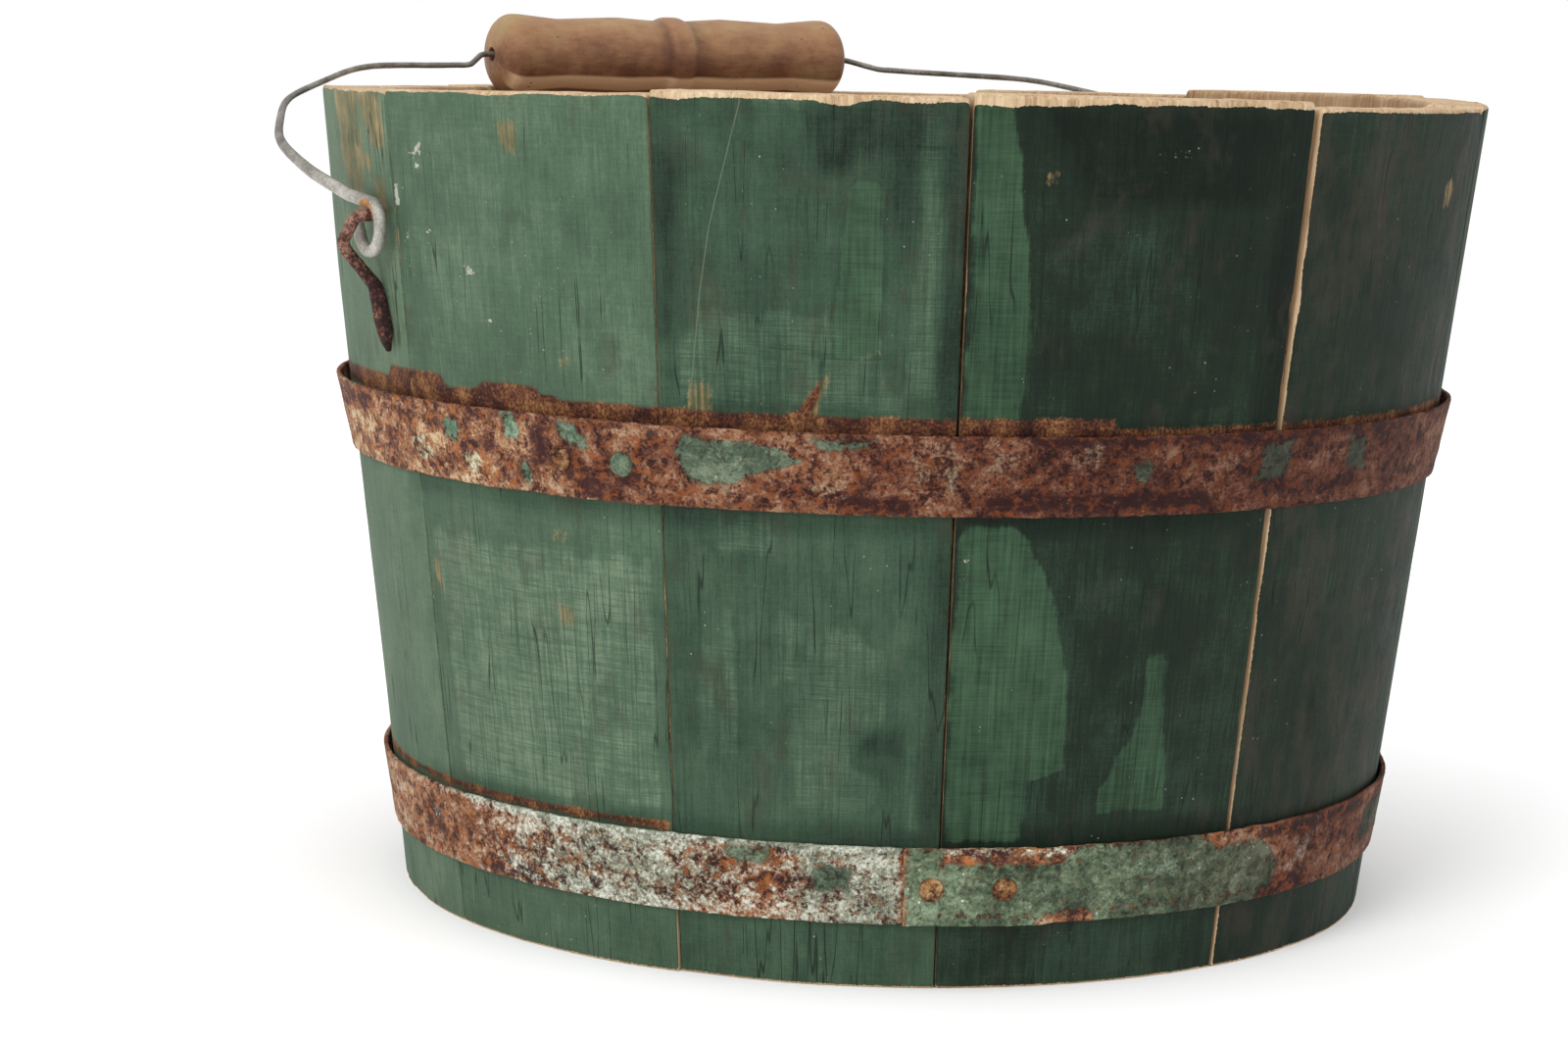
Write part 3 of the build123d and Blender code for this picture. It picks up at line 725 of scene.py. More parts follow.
def buildStave(number, finish):
    first = staves["seams"][number - 1]
    last = (staves["seams"] + [staves["seams"][0] + 360.0])[number]
    middle = (first + last) / 2
    halfAngle = math.radians(last - first) / 2
    topFirst, topLast = staves["tops"][number - 1]
    step = staves["lattice"] * fine
    width = 2 * halfAngle * wallRadius(bucket["height"] / 2)
    heights = ticks(topLast, step * 1.35)
    grooveLines = [tongueLow - 2.9, tongueLow - 2.6, tongueLow - 0.2, tongueHigh + 0.2, tongueHigh + 2.6,
                   tongueHigh + 2.9]
    heights = np.unique(np.round(np.concatenate([heights, grooveLines]), 4))
    grid, faces = shellLattice(ticks(width, step), ticks(bucket["wall"], 2.2 * fine), heights)
    share, deep, high = grid[:, 0] / width * 2 - 1, grid[:, 1].copy(), grid[:, 2].copy()
    top = topFirst + (topLast - topFirst) * (share + 1) / 2
    top = top + 0.22 * layered(share * 6, deep * 0.3, number, 11)
    high = high * top / heights[-1]
    # groove for the bottom, cut into the inside face
    inGroove = (deep > bucket["wall"] - 0.01) & (high > tongueLow - 0.3) & (high < tongueHigh + 0.3)
    deep[inGroove] = bucket["wall"] - board["croze"]
    gaps = []
    for seam in (first, last):
        foot, rim = staves["gaps"].get(seam % 360.0, (staves["tightGap"], staves["tightGap"]))
        gaps.append(foot + (rim - foot) * high / bucket["height"])
    reach = halfAngle * wallRadius(high)
    low = np.stack([-reach + gaps[0] / 2, np.zeros_like(reach), np.zeros_like(reach)], -1)
    far = np.stack([reach - gaps[1] / 2, np.full_like(reach, bucket["wall"]), top], -1)
    across = low[:, 0] + (far[:, 0] - low[:, 0]) * (share + 1) / 2
    sx, sy, sz = across / 9.0, deep / 9.0, high / 14.0
    wear = staves["wear"] + 0.35 * layered(sx, sy, sz, 20 + number)
    rimWear = smooth(high, top - 3.0, top - 0.5)
    wear = wear + rimWear * (0.55 + 0.6 * smooth(layered(across / 5.0, deep / 9.0, number, 33), 0.2, 0.9))
    points = wornEdges(np.stack([across, deep, high], -1), low, far, np.clip(wear, 0.2, 2.2))
    across, deep, high = points.T
    angle = middle + np.degrees(across / wallRadius(high))
    arc = np.radians(angle) * bucket["arcScale"] * 10.0
    # outside: cooper's flats, grain ridges, dents; never proud under the hoops
    outer = 1 - smooth(grid[:, 1], 0.3, 2.0)
    inner = smooth(grid[:, 1], bucket["wall"] - 2.0, bucket["wall"] - 0.3) * ~inGroove
    lie = 0.16 * layered(across / 22.0, number, high / 60.0, 40 + number)
    ridges = 0.07 * layered(across / 1.3, number, high / 34.0, 60 + number)
    dents = -0.35 * smooth(bumps(across / 8.0, number, high / 9.0, 80 + number), 0.55, 0.95)
    outward = lie + ridges + dents - 0.18
    held = np.zeros_like(high)
    for zoneLow, zoneHigh in hoopZones:
        fadeOut = 1 - smooth(high, zoneHigh, zoneHigh + 4)
        held = np.maximum(held, smooth(high, zoneLow - 4, zoneLow) * fadeOut)
    outward = np.minimum(outward, 0.3 * (1 - held) - 0.05)
    lean, hollow = staves["lean"], staves["hollow"]
    leaning = smooth(angle, *lean["starts"]) * (1 - smooth(angle, *lean["ends"]))
    outward = outward - lean["depth"] * (leaning * smooth(high, lean["from"], bucket["height"]))
    if number == hollow["stave"]:
        sunk = hollow["depth"] * (1 - smooth(high, *hollow["heights"]))
        outward = outward - sunk * (1 - smooth(angle, *hollow["angles"]))
    tool = 0.18 * layered(across / 3.0, number, high / 40.0, 90 + number)
    tool = tool + 0.10 * bumps(across / 1.1, 0, high / 30.0, 95)
    radius = wallRadius(high) - deep + outer * outward - inner * (tool - 0.2)
    placed = aroundAxis(radius, angle, high)
    # how far inside the painted area, in millimetres
    ragged = staves["rimBare"][number - 1] + 0.45 * layered(arc * 2.2, 0.0, number, 101, 4)
    ragged = ragged + 0.9 * smooth(bumps(arc * 0.6, 3.0, number, 104), 0.5, 0.9)
    seamBare = -0.55 + 0.75 * smooth(layered(number, 1.0, high / 9.0, 105), 0.30, 0.9)
    fromFirst = across - low[:, 0]
    fromLast = far[:, 0] - across
    firstBare = seamBare + staves["bareEdge"].get(first, 0.0)
    paint = np.minimum.reduce([top - high - ragged, high - 0.5, fromFirst - firstBare, fromLast - seamBare,
                               np.full_like(high, 4.0)])
    paint = np.where(grid[:, 1] < 2.5, paint - deep * 1.2, -4.0)
    marks = staveMarks(angle, high, grid[:, 1], wallRadius(high))
    # the tone holds painted light as well as the paint's own colour
    footTone, rimTone = staves["tones"][number - 1]
    marks["paintToneAndLight"] = footTone + (rimTone - footTone) * smooth(high, 20.0, bucket["height"])
    marks["paint"] = paint
    marks["brown"] = np.full_like(high, staves["browning"][number - 1])
    # the inside face is darker towards the bottom
    marks["lowInsideDark"] = np.where(grid[:, 1] > 15.0, 0.42 + 0.45 * (1 - smooth(high, 25.0, 190.0)), 0.0)
    marks["wall"] = np.stack([arc, deep / 10.0 + number * 0.6, high / 10.0], -1)
    name = "stave_%02d" % number
    makePiece("wood_" + name, placed, faces, finish, "bucket", "painted_stave", name, marks)


stavePaint = paintedStaveFinish()
for number in range(1, len(staves["seams"]) + 1):
    buildStave(number, stavePaint)
print("staves done")


# Bottom boards, in the groove of the staves

def buildBoard(name, left, right, seed, finish):
    tongueRadius = wallRadius(board["under"]) - bucket["wall"] + board["croze"]
    shoulder = tongueRadius - board["croze"] - 1.0
    gap = 0.3
    step = 2.0 * fine
    levels = np.array([0.0, 0.3, 0.9, tongueLow - board["under"], tongueHigh - board["under"],
                       board["top"] - board["under"] - 0.9, board["top"] - board["under"] - 0.3,
                       board["top"] - board["under"]]) + board["under"]
    grid, faces = shellLattice(ticks(1.0, 0.022 * fine, (0.004, 0.01, 0.02)),
                               ticks(2.0, 0.02 * fine, (0.004, 0.01, 0.02, 0.03)), levels)
    high = grid[:, 2]
    rim = np.interp(high, [board["under"], tongueLow, tongueHigh, board["top"]],
                    [shoulder, tongueRadius, tongueRadius, shoulder])
    leftEdge = np.maximum(left + gap / 2, -rim * 0.9995)
    rightEdge = np.minimum(right - gap / 2, rim * 0.9995)
    x = leftEdge + (rightEdge - leftEdge) * grid[:, 0]
    chord = np.sqrt(np.maximum(rim**2 - x**2, 0.01))
    y = (grid[:, 1] - 1.0) * chord
    face = np.where(high > (board["under"] + board["top"]) / 2, -1.0, 1.0)
    onFace = (high <= board["under"] + 0.01) | (high >= board["top"] - 0.01)
    cup = 0.25 + 0.22 * layered(x / 3.0, y / 60.0, seed, 7)
    nearJoint = smooth(np.minimum(x - leftEdge, rightEdge - x), 0.0, 1.2)
    high = high + onFace * face * (cup + 0.5 * (1 - nearJoint))
    marks = {"wall": np.stack([x / 10.0, high / 10.0 + seed, y / 10.0], -1)}
    makePiece("plank_" + name, np.stack([x, y, high], -1), faces, finish, "bucket", "bare_board", name, marks)


boardWood = boardFinish()
boardEdges = [-300.0] + board["joints"] + [300.0]
for k, side in enumerate(("left", "middle", "right")):
    buildBoard("bottom_board_" + side, boardEdges[k], boardEdges[k + 1], 3 * k + 1, boardWood)
frame["nodes"]["bottom_dowels"].material_slots[0].material = dowelFinish()
print("bottom done")


# Hoops and their rivets

hoopStrip = {
    "thick": 1.2,
    "lap": 31.0,
    "lapGap": 0.05,
    "joggle": 6.0,
    "endGap": 1.5,
    "rivets": (6.5, 23.5),
    "rivetHead": 3.0,
    "rivetRise": 1.7,
}
upperHoop = {
    "node": "upper_hoop",
    "lapAngle": 202.6,
    "standOff": 1.3,
    "coats": [
        [(131.8, 205.0, 207.2), (129.0, 205.2, 208.0), (126.6, 206.2, 208.2)],
        [(131.0, 218.2, 220.0), (129.6, 217.6, 227.0), (126.0, 217.6, 229.4), (122.5, 218.0, 224.5),
         (120.0, 218.6, 222.5)],
        [(131.4, 230.4, 236.0), (129.4, 230.8, 235.0)],
        [(132.4, 198.0, 199.8), (126.4, 198.2, 200.0)],
        [(128.6, 189.2, 191.4), (124.6, 189.4, 191.2)],
        [(120.8, 199.8, 201.2), (116.4, 199.9, 201.0)],
        [(130.0, 274.6, 278.0), (121.0, 273.8, 277.4)],
        [(127.0, 260.0, 262.0), (122.6, 260.4, 261.8)],
        [(130.0, 286.0, 289.0), (122.0, 287.0, 290.0)],
        [(132.0, 30.0, 80.0), (120.0, 40.0, 70.0)],
        [(131.0, 100.0, 118.0), (124.0, 104.0, 116.0)],
    ],
    "limes": [
        [(124.0, 183.0, 185.6), (118.0, 184.0, 187.6)],
        [(121.4, 191.6, 194.2), (115.8, 192.0, 194.6)],
        [(121.0, 230.0, 233.0), (118.0, 229.4, 233.4)],
        [(131.0, 239.0, 243.0), (120.0, 240.0, 244.6)],
        [(129.0, 246.0, 249.4), (124.0, 246.4, 249.0)],
        [(131.0, 254.0, 257.0), (126.0, 254.2, 256.6)],
        [(128.0, 269.0, 272.0), (123.0, 269.6, 272.4)],
    ],
    "scars": [
        [(130.4, 201.0, 203.7), (120.6, 201.4, 203.9)],
        [(126.0, 205.7, 206.9), (117.6, 205.4, 206.8)],
        [(120.2, 207.6, 210.0), (114.0, 207.4, 210.2)],
        [(123.2, 212.6, 214.4), (117.2, 211.2, 214.2)],
        [(131.8, 214.8, 216.4), (127.0, 214.6, 216.3)],
        [(126.6, 195.2, 196.6), (123.2, 195.1, 196.5)],
        [(133.0, 156.0, 176.0), (126.0, 160.0, 172.0)],
        [(119.0, 233.0, 239.0), (114.0, 232.0, 240.0)],
        [(133.0, 250.0, 300.0), (130.5, 250.0, 300.0)],
        [(120.0, 246.0, 268.0), (115.0, 246.0, 270.0)],
    ],
    "pale": [(150, -1.35), (185, -1.10), (215, -1.45), (232, -1.25), (262, -1.35), (300, -1.6),
             (500, -1.2)],
    # painted light and shade: lighter on the left of the bucket, darker towards the right
    "paintedLight": [(150, 1.55), (196, 1.45), (203, 1.05), (215, 0.90), (232, 0.82), (252, 0.56), (275, 0.46),
            (300, 0.44),
            (360, 0.8), (500, 1.1)],
}
lowerHoop = {
    "node": "lower_hoop",
    "lapAngle": 239.8,
    "standOff": 0.6,
    "coats": [
        [(35.2, 240.1, 243.6), (15.0, 240.1, 243.6)],
        [(31.4, 243.0, 282.0), (24.0, 243.0, 285.0), (18.4, 243.0, 284.0)],
        [(35.2, 258.0, 272.0), (30.0, 256.4, 276.0)],
        [(19.0, 240.1, 253.8), (15.0, 240.1, 253.8)],
        [(19.0, 260.6, 283.0), (15.0, 260.2, 281.0)],
        [(33.6, 221.0, 226.6), (30.0, 222.0, 226.0)],
        [(30.0, 231.0, 234.6), (24.0, 230.4, 234.0)],
        [(31.0, 306.0, 330.0), (22.0, 304.0, 340.0)],
        [(30.0, 60.0, 96.0), (20.0, 70.0, 100.0)],
    ],
    "limes": [
        [(34.9, 243.0, 259.0), (33.7, 243.0, 259.0)],
        [(34.9, 180.0, 239.6), (34.3, 180.0, 239.6)],
        [(30.0, 264.0, 270.0), (26.0, 265.0, 271.0)],
        [(30.0, 288.0, 291.0), (23.0, 287.0, 290.0)],
    ],
    "scars": [
        [(33.0, 243.6, 257.4), (31.6, 243.6, 257.4)],
        [(29.0, 176.0, 181.0), (22.0, 177.0, 182.0)],
        [(22.0, 190.0, 206.0), (16.2, 188.0, 214.0)],
        [(35.0, 281.0, 304.0), (31.0, 281.0, 304.0)],
        [(21.0, 280.0, 290.0), (16.0, 279.0, 292.0)],
    ],
    "pale": [(150, -1.3), (184, -0.9), (194, -0.15), (204, 0.25), (214, 0.40), (219, 0.0), (226, -0.15),
             (230, 0.30),
             (236, 0.45), (239, 0.60), (240, -0.9), (283, -1.3), (290, -0.9), (330, -0.8), (500, -0.6)],
    # painted light and shade: lighter on the left and on the lap, darker towards the right
    "paintedLight": [(150, 1.05), (195, 1.0), (239.5, 0.95), (240, 1.2), (262, 1.15), (284, 0.60), (290, 0.46),
            (330, 0.5), (500, 0.9)],
}
upperLook = {
    "rust": [(0.30, (0.045, 0.013, 0.009)), (0.42, (0.110, 0.038, 0.023)), (0.51, (0.185, 0.078, 0.044)),
             (0.60, (0.290, 0.138, 0.072)), (0.74, (0.43, 0.29, 0.18))],
    "pit": (0.036, 0.009, 0.010),
    "orange": (0.270, 0.080, 0.022),
    "chalk": [(0.3, (0.12, 0.145, 0.10)), (0.5, (0.27, 0.26, 0.17)), (0.70, (0.43, 0.38, 0.27))],
    "green": [(0.25, (0.040, 0.070, 0.045)), (0.5, (0.085, 0.155, 0.100)), (0.75, (0.20, 0.30, 0.205))],
    "fleck": (0.52, 0.45, 0.36),
}
lowerLook = {
    "rust": [(0.30, (0.060, 0.020, 0.014)), (0.42, (0.155, 0.060, 0.032)), (0.51, (0.27, 0.118, 0.062)),
             (0.60, (0.36, 0.200, 0.115)), (0.72, (0.50, 0.38, 0.26))],
    "pit": (0.040, 0.014, 0.012),
    "orange": (0.40, 0.130, 0.036),
    "chalk": [(0.30, (0.155, 0.175, 0.125)), (0.44, (0.25, 0.265, 0.195)), (0.55, (0.40, 0.415, 0.325)),
              (0.70, (0.72, 0.735, 0.64))],
    "green": [(0.26, (0.028, 0.046, 0.028)), (0.5, (0.078, 0.132, 0.080)), (0.72, (0.19, 0.27, 0.175))],
    "fleck": (0.72, 0.70, 0.60),
}
rivetLook = {
    "rust": [(0.30, (0.055, 0.018, 0.010)), (0.45, (0.150, 0.062, 0.028)), (0.56, (0.28, 0.140, 0.060)),
             (0.72, (0.48, 0.33, 0.17))],
    "pit": (0.034, 0.012, 0.010),
    "orange": (0.34, 0.150, 0.045),
    "chalk": [(0.3, (0.20, 0.16, 0.10)), (0.7, (0.50, 0.42, 0.28))],
    "green": [(0.28, (0.060, 0.110, 0.070)), (0.5, (0.120, 0.215, 0.135)), (0.72, (0.23, 0.35, 0.24))],
    "fleck": (0.50, 0.40, 0.26),
}


def buildHoop(hoop, finish, seed):
    bottom = nodeSpan(hoop["node"])[0][2]
    wide = nodeSpan(hoop["node"])[1][2] - bottom
    around = wallRadius(bottom + wide / 2)
    hidden = hoop["lapAngle"] + math.degrees(hoopStrip["lap"] / around)
    lapEnd = hidden + math.degrees(hoopStrip["endGap"] / around)
    length = math.radians(hidden + 360.0 - hoop["lapAngle"]) * around
    grid, faces = shellLattice(ticks(length, 1.25 * fine), ticks(hoopStrip["thick"], 5.0, (0.15, 0.4)),
                               ticks(wide, 0.95 * fine, (0.15, 0.4, 0.8)))
    # the lattice runs the other way through the metal, so that its outside is at depth 0
    along, deep, rise = grid.T
    low = np.zeros(3)
    far = np.array([length, hoopStrip["thick"], wide])
    wear = 0.35 + 0.2 * layered(along / 4.0, seed, rise / 4.0, 5 + seed)
    points = wornEdges(grid, low, far, np.clip(wear, 0.12, 0.58))
    along, deep, rise = points.T
    angle = hoop["lapAngle"] + np.degrees(along / around)
    layer = 1 - smooth(angle, lapEnd, lapEnd + math.degrees(hoopStrip["joggle"] / around))
    lift = layer * (hoopStrip["thick"] + hoopStrip["lapGap"])
    share = rise / wide
    turned = np.radians(angle)
    ringX, ringY = np.cos(turned) * 5, np.sin(turned) * 5
    loose = 0.5 * smooth(angle, 380.0, 430.0) * (1 - smooth(angle, 520.0, 556.0))
    waver = 1 + 0.45 * bumps(ringX * 0.6, ringY * 0.6, seed, 31) + loose
    standOff = hoop["standOff"] * waver
    base = wallRadius(bottom) + (wallRadius(bottom + wide) + standOff - wallRadius(bottom)) * share + lift
    outside = 1 - smooth(grid[:, 1], 0.1, hoopStrip["thick"] - 0.1)
    metal = np.stack([along / 3.4, rise / 3.4, np.full_like(along, seed)])
    scabs = smooth(layered(along / 5.0, rise / 5.0, seed, 70 + seed), 0.35, 0.9)
    lumps = 0.10 * layered(*metal, 60 + seed, 4) + 0.22 * scabs
    pitting = -0.16 * smooth(layered(along / 1.6, rise / 1.6, seed, 75 + seed), 0.35, 0.8)
    radius = base + hoopStrip["thick"] - deep + outside * (lumps + pitting)
    edgeWay = (share - 0.5) * 2
    ragged = 0.16 * layered(along / 2.6, edgeWay, seed, 88) + 0.10 * bumps(along / 1.2, edgeWay, seed, 89)
    high = bottom + rise + ragged * np.abs(edgeWay) ** 8
    ends = np.exp(-along / 2.0) + np.exp(-(length - along) / 2.0)
    angle = angle + np.degrees(ends * 0.35 * bumps(0.0, rise / 2.5, seed, 93) / around)
    placed = aroundAxis(radius, angle, high)
    turnedMark = np.mod(angle, 360.0)
    coat = outlineField(hoop["coats"], turnedMark, high, around)
    coat = np.where(grid[:, 1] < 0.7, coat, -4.0)
    lime = smooth(outlineField(hoop["limes"], turnedMark, high, around), -1.6, 0.6)
    unwound = np.where(turnedMark < 150.0, turnedMark + 360.0, turnedMark)
    marks = {
        "coat": np.clip(coat, -4.0, 2.6),
        "pale": np.interp(unwound, *zip(*hoop["pale"])) + 1.1 * lime,
        "scar": np.clip(outlineField(hoop["scars"], turnedMark, high, around), -3.0, 2.0),
        # painted light and shade, set by the angle round the bucket
        "paintedLight": np.interp(unwound, *zip(*hoop["paintedLight"])),
        "strip": np.stack([along / 10.0, (deep + seed * 7) / 10.0, rise / 10.0], -1),
    }
    makePiece("iron_" + hoop["node"], placed, faces, finish, "bucket", "rusty_hoop", hoop["node"], marks)


def buildRivets(hoop, finish, seed):
    # lumpy forged domes, both in one piece as their node has them
    bottom = nodeSpan(hoop["node"])[0][2]
    wide = nodeSpan(hoop["node"])[1][2] - bottom
    innerLow = wallRadius(bottom)
    innerHigh = wallRadius(bottom + wide) + hoop["standOff"]
    radius = (innerLow + innerHigh) / 2
    tilt = math.atan2(innerHigh - innerLow, wide)
    base = 2 * hoopStrip["thick"] + hoopStrip["lapGap"] - 0.2
    head, rise = hoopStrip["rivetHead"], hoopStrip["rivetRise"] + 0.2
    profile = [(0.0, -1.2), (1.6, -1.2), (1.7, -0.2)]
    profile += [(head * math.cos(t), rise * math.sin(t)) for t in np.linspace(0, math.pi / 2, 16)]
    allPoints, allFaces, rims = [], [], []
    around = 40
    for k, along in enumerate(hoopStrip["rivets"]):
        angle = math.radians(hoop["lapAngle"]) + along / radius
        out = Vector((math.cos(angle) * math.cos(tilt), math.sin(angle) * math.cos(tilt), -math.sin(tilt)))
        side = Vector((-math.sin(angle), math.cos(angle), 0.0))
        up = out.cross(side)
        foot = np.array([radius * math.cos(angle), radius * math.sin(angle), bottom + wide / 2])
        turn = np.linspace(0, 2 * math.pi, around, endpoint=False)
        r, z = (np.array(v) for v in zip(*profile))
        grown = 1 + 0.07 * layered(np.cos(turn)[None] * 1.4, np.sin(turn)[None] * 1.4, z[:, None], seed + k)
        flat = r[:, None] * grown
        cosine, sine = np.cos(turn), np.sin(turn)
        rippled = 0.28 * layered(flat * cosine / 1.3, flat * sine / 1.3, 0.0, 9 * seed + k)
        dome = z[:, None] + rippled * (z[:, None] > 0)
        points = foot + (flat * cosine)[..., None] * np.array(side) + (flat * sine)[..., None] * np.array(up)
        points = points + (base + dome)[..., None] * np.array(out)
        index = np.arange(len(profile) * around).reshape(len(profile), around) + len(profile) * around * k
        nextOne = np.roll(index, -1, axis=1)
        allFaces.append(np.stack([index[:-1], nextOne[:-1], nextOne[1:], index[1:]], -1).reshape(-1, 4))
        allPoints.append(points.reshape(-1, 3))
        rims.append(np.broadcast_to(z[:, None], flat.shape).ravel())
    points = np.concatenate(allPoints)
    green = hoop is upperHoop
    which = np.repeat([0.0, 1.0], len(profile) * around)
    marks = {
        "coat": np.where(which > 0.5, 2.4 if green else -4.0, -4.0),
        "pale": np.full(len(points), -1.2),
        "scar": np.full(len(points), -3.0),
        # painted light and shade: each dome darker round its foot and lighter on top, the upper hoop's rivets
        # darker overall
        "paintedLight": (0.8 if green else 1.05) * (0.72 + 0.4 * smooth(np.concatenate(rims), 0.2, 1.2)),
        "strip": points / 10.0,
    }
    name = hoop["node"] + "_rivets"
    makePiece("head_" + name, points, np.concatenate(allFaces), finish, "bucket", "rivet_iron", name, marks)


upperIron = hoopFinish("rustyIronUpper", upperLook)
lowerIron = hoopFinish("rustyIronLower", lowerLook)
buildHoop(upperHoop, upperIron, 1)
buildHoop(lowerHoop, lowerIron, 2)
rivetIron = hoopFinish("rustyRivets", rivetLook)
buildRivets(upperHoop, rivetIron, 3)
buildRivets(lowerHoop, rivetIron, 4)
print("hoops done")


# Bail wire and staples

bail = {
    "lean": 17.986,
    "reach": 122.734,
    "wire": 1.4,
    "eyeGap": 2.0,
    "eyeRadius": 6.0,
    "eyeClear": 0.15,
    "eyeArc": (95.0, 330.0),
    "eyeTail": 6.0,
    "eyeLead": 13.0,
    "flare": 3.4,
    "bends": [4.0, 6.0, 24.0, 30.0, 30.0, 12.0, 9.0],
    "gripMiddle": -5.0,
    "gripHalf": 56.5,
    "pastGrip": 3.0,
    # visible wire: thin on top, swelling towards the eyes
    "thin": 0.80,
    "swell": 0.78,
    "uneven": 0.04,
    "easing": 90,          # averaging passes along the arms
}
staple = {
    "radius": 1.6,
    "bow": 1.55,           # visible radius of the bow, and what the shank adds to it
    "swell": 0.42,
    "standOff": 0.25,
    "depth": 12.0,
    "reach": 7.2,
    "bulge": 0.6,
    "sideways": (7.0, 4.5, 0.5),
    "drops": (7.5, 17.5, 33.4),
    "bends": [2.6, 3.6, 4.0],
}


def bailPoint(across, along):
    lean = math.radians(bail["lean"])
    return (across, along * math.cos(lean), bucket["pivot"] + along * math.sin(lean))


def bailArm(side, outline):
    drop = bail["eyeRadius"] - bail["wire"] - staple["radius"] - bail["eyeClear"]
    eyeX = side * (wallRadius(bucket["pivot"]) + bail["eyeGap"] + bail["wire"])
    centre = np.array([eyeX, 0.0, bucket["pivot"] - drop])

    def onEye(angle):
        turn = math.radians(angle)
        return centre + bail["eyeRadius"] * np.array([0.0, math.cos(turn), math.sin(turn)])

    def eyeAhead(angle):
        turn = math.radians(angle)
        return np.array([0.0, -math.sin(turn), math.cos(turn)])

    start, end = bail["eyeArc"]
    shoulder = side * bail["gripMiddle"] + bail["gripHalf"] + bail["pastGrip"]
    corners = [bailPoint(bail["gripMiddle"], bail["reach"]), bailPoint(side * shoulder, bail["reach"])]
    corners += [bailPoint(side * across, along) for across, along in outline]
    corners += [onEye(start) - eyeAhead(start) * bail["eyeLead"], onEye(start)]
    arm = bentPath(corners, bail["bends"])
    loop = np.array([onEye(a) for a in np.linspace(start, end, 40)])
    tail = onEye(end) + eyeAhead(end) * bail["eyeTail"]
    return evenly(np.concatenate([arm, loop[1:], [tail]]), 0.8 * fine)


def buildBail(finish):
    armPlane = wallRadius(bucket["pivot"]) + bail["eyeGap"] + bail["wire"] + bail["flare"]
    lowArm = [(140.0, 84.0), (armPlane, 52.0), (armPlane, 30.0)]
    left = bailArm(-1, [(73.0, 112.5), (106.0, 112.0)] + lowArm)
    right = bailArm(1, [(62.0, 114.0), (113.0, 107.5)] + lowArm)
    path = evenly(np.concatenate([left[::-1], right[1:]]), 0.8 * fine)
    # hand-bent wire has no sharp corners: ease the arms, but not the eyes or the grip's end bends
    eased = path.copy()
    for _ in range(int(bail["easing"] / fine**2)):
        eased[1:-1] = (eased[:-2] + 2 * eased[1:-1] + eased[2:]) / 4
    loose = smooth(path[:, 1], 16.0, 34.0) * smooth(np.abs(path[:, 0] - bail["gripMiddle"]), 66.0, 76.0)
    path = path + (eased - path) * loose[:, None]
    nearEye = 1 - smooth(path[:, 1], 6.0, 95.0)
    uneven = bail["uneven"] * bumps(path[:, 0] / 6, path[:, 1] / 6, path[:, 2] / 6, 5)
    radii = bail["thin"] + bail["swell"] * nearEye + uneven
    points, quads, caps = tube(path, radii, 16)
    rough = 0.05 * layered(points[:, 0] / 1.5, points[:, 1] / 1.5, points[:, 2] / 1.5, 21)
    points[:, 2] = points[:, 2] + rough
    inEye = 1 - smooth(np.hypot(points[:, 1], points[:, 2] - bucket["pivot"] + 1.0), 4.6, 5.6)
    marks = {
        "strip": points / 10.0,
        "rust": 0.06 + 0.75 * inEye * (np.abs(points[:, 0]) > 140),
        "lime": 1 - smooth(points[:, 1], 8.0, 50.0),
    }
    makeTube("wire_bail", points, quads, caps, finish, "bail", "galvanised_wire", "bail_wire", marks)


def buildStaple(side, name, finish):
    face = wallRadius(bucket["pivot"])
    pivot = bucket["pivot"]
    heights = [pivot - drop for drop in staple["drops"]]
    lying = staple["radius"] + staple["standOff"]
    corners = [
        (face - staple["depth"], 0.0, pivot),
        (face + staple["reach"], 0.0, pivot),
        (face + staple["reach"] + staple["bulge"], staple["sideways"][0], heights[0]),
        (wallRadius(heights[1]) + lying, staple["sideways"][1], heights[1]),
        (wallRadius(heights[2]) + lying, staple["sideways"][2], heights[2]),
    ]
    path = bentPath([(side * x, y, z) for x, y, z in corners], staple["bends"], 0.5 * fine)
    onShank = 1 - smooth(path[:, 2], heights[1] - 4.0, heights[1] + 4.0)
    toTip = np.clip((path[:, 2] - heights[2]) / 5.0, 0, 1)
    radii = (staple["bow"] + staple["swell"] * onShank) * (0.25 + 0.75 * toTip ** 0.7)
    radii = np.where(path[:, 2] > heights[0], staple["bow"], radii)
    points, quads, caps = tube(path, radii, 22)
    x, y, z = points.T / 1.1
    crust = 0.16 * layered(x, y, z, 31, 3) + 0.16 * smooth(layered(x / 2, y / 2, z / 2, 35), 0.2, 0.8)
    axis = path[np.argmin(((points[:, None, :] - path[None, ::3]) ** 2).sum(-1), axis=1) * 3]
    away = points - axis
    away /= np.maximum(np.linalg.norm(away, axis=1, keepdims=True), 1e-6)
    free = smooth(np.abs(points[:, 0]), face + 4.4, face + 5.6) + (points[:, 2] < pivot - 10)
    points = points + away * (crust * np.clip(free, 0, 1))[:, None]
    # painted light: the staple lighter towards its top, where the bow is
    lit = smooth(points[:, 2], heights[1] + 2.0, heights[0]) * 0.6
    marks = {"strip": points / 10.0, "rust": 0.35 + lit}
    makeTube("iron_" + name, points, quads, caps, finish, "bucket", "rusty_staple", name, marks)


stapleIron = stapleFinish()
buildBail(wireFinish())
buildStaple(-1, "left_bail_staple", stapleIron)
buildStaple(1, "right_bail_staple", stapleIron)
print("bail done")


# Turned grip

grip = {
    "radius": 11.4,
    # distance from the middle as a share of the half length, and the cut below full radius
    "turning": [(0.0, 0.0), (0.042, 0.0), (0.075, 1.05), (0.10, 1.0), (0.30, 0.3), (0.64, 1.2),
                (0.86, 0.0), (1.0, 0.0)],
    "dome": 6.3,           # length of the rounded end
    "bore": 1.9,
}


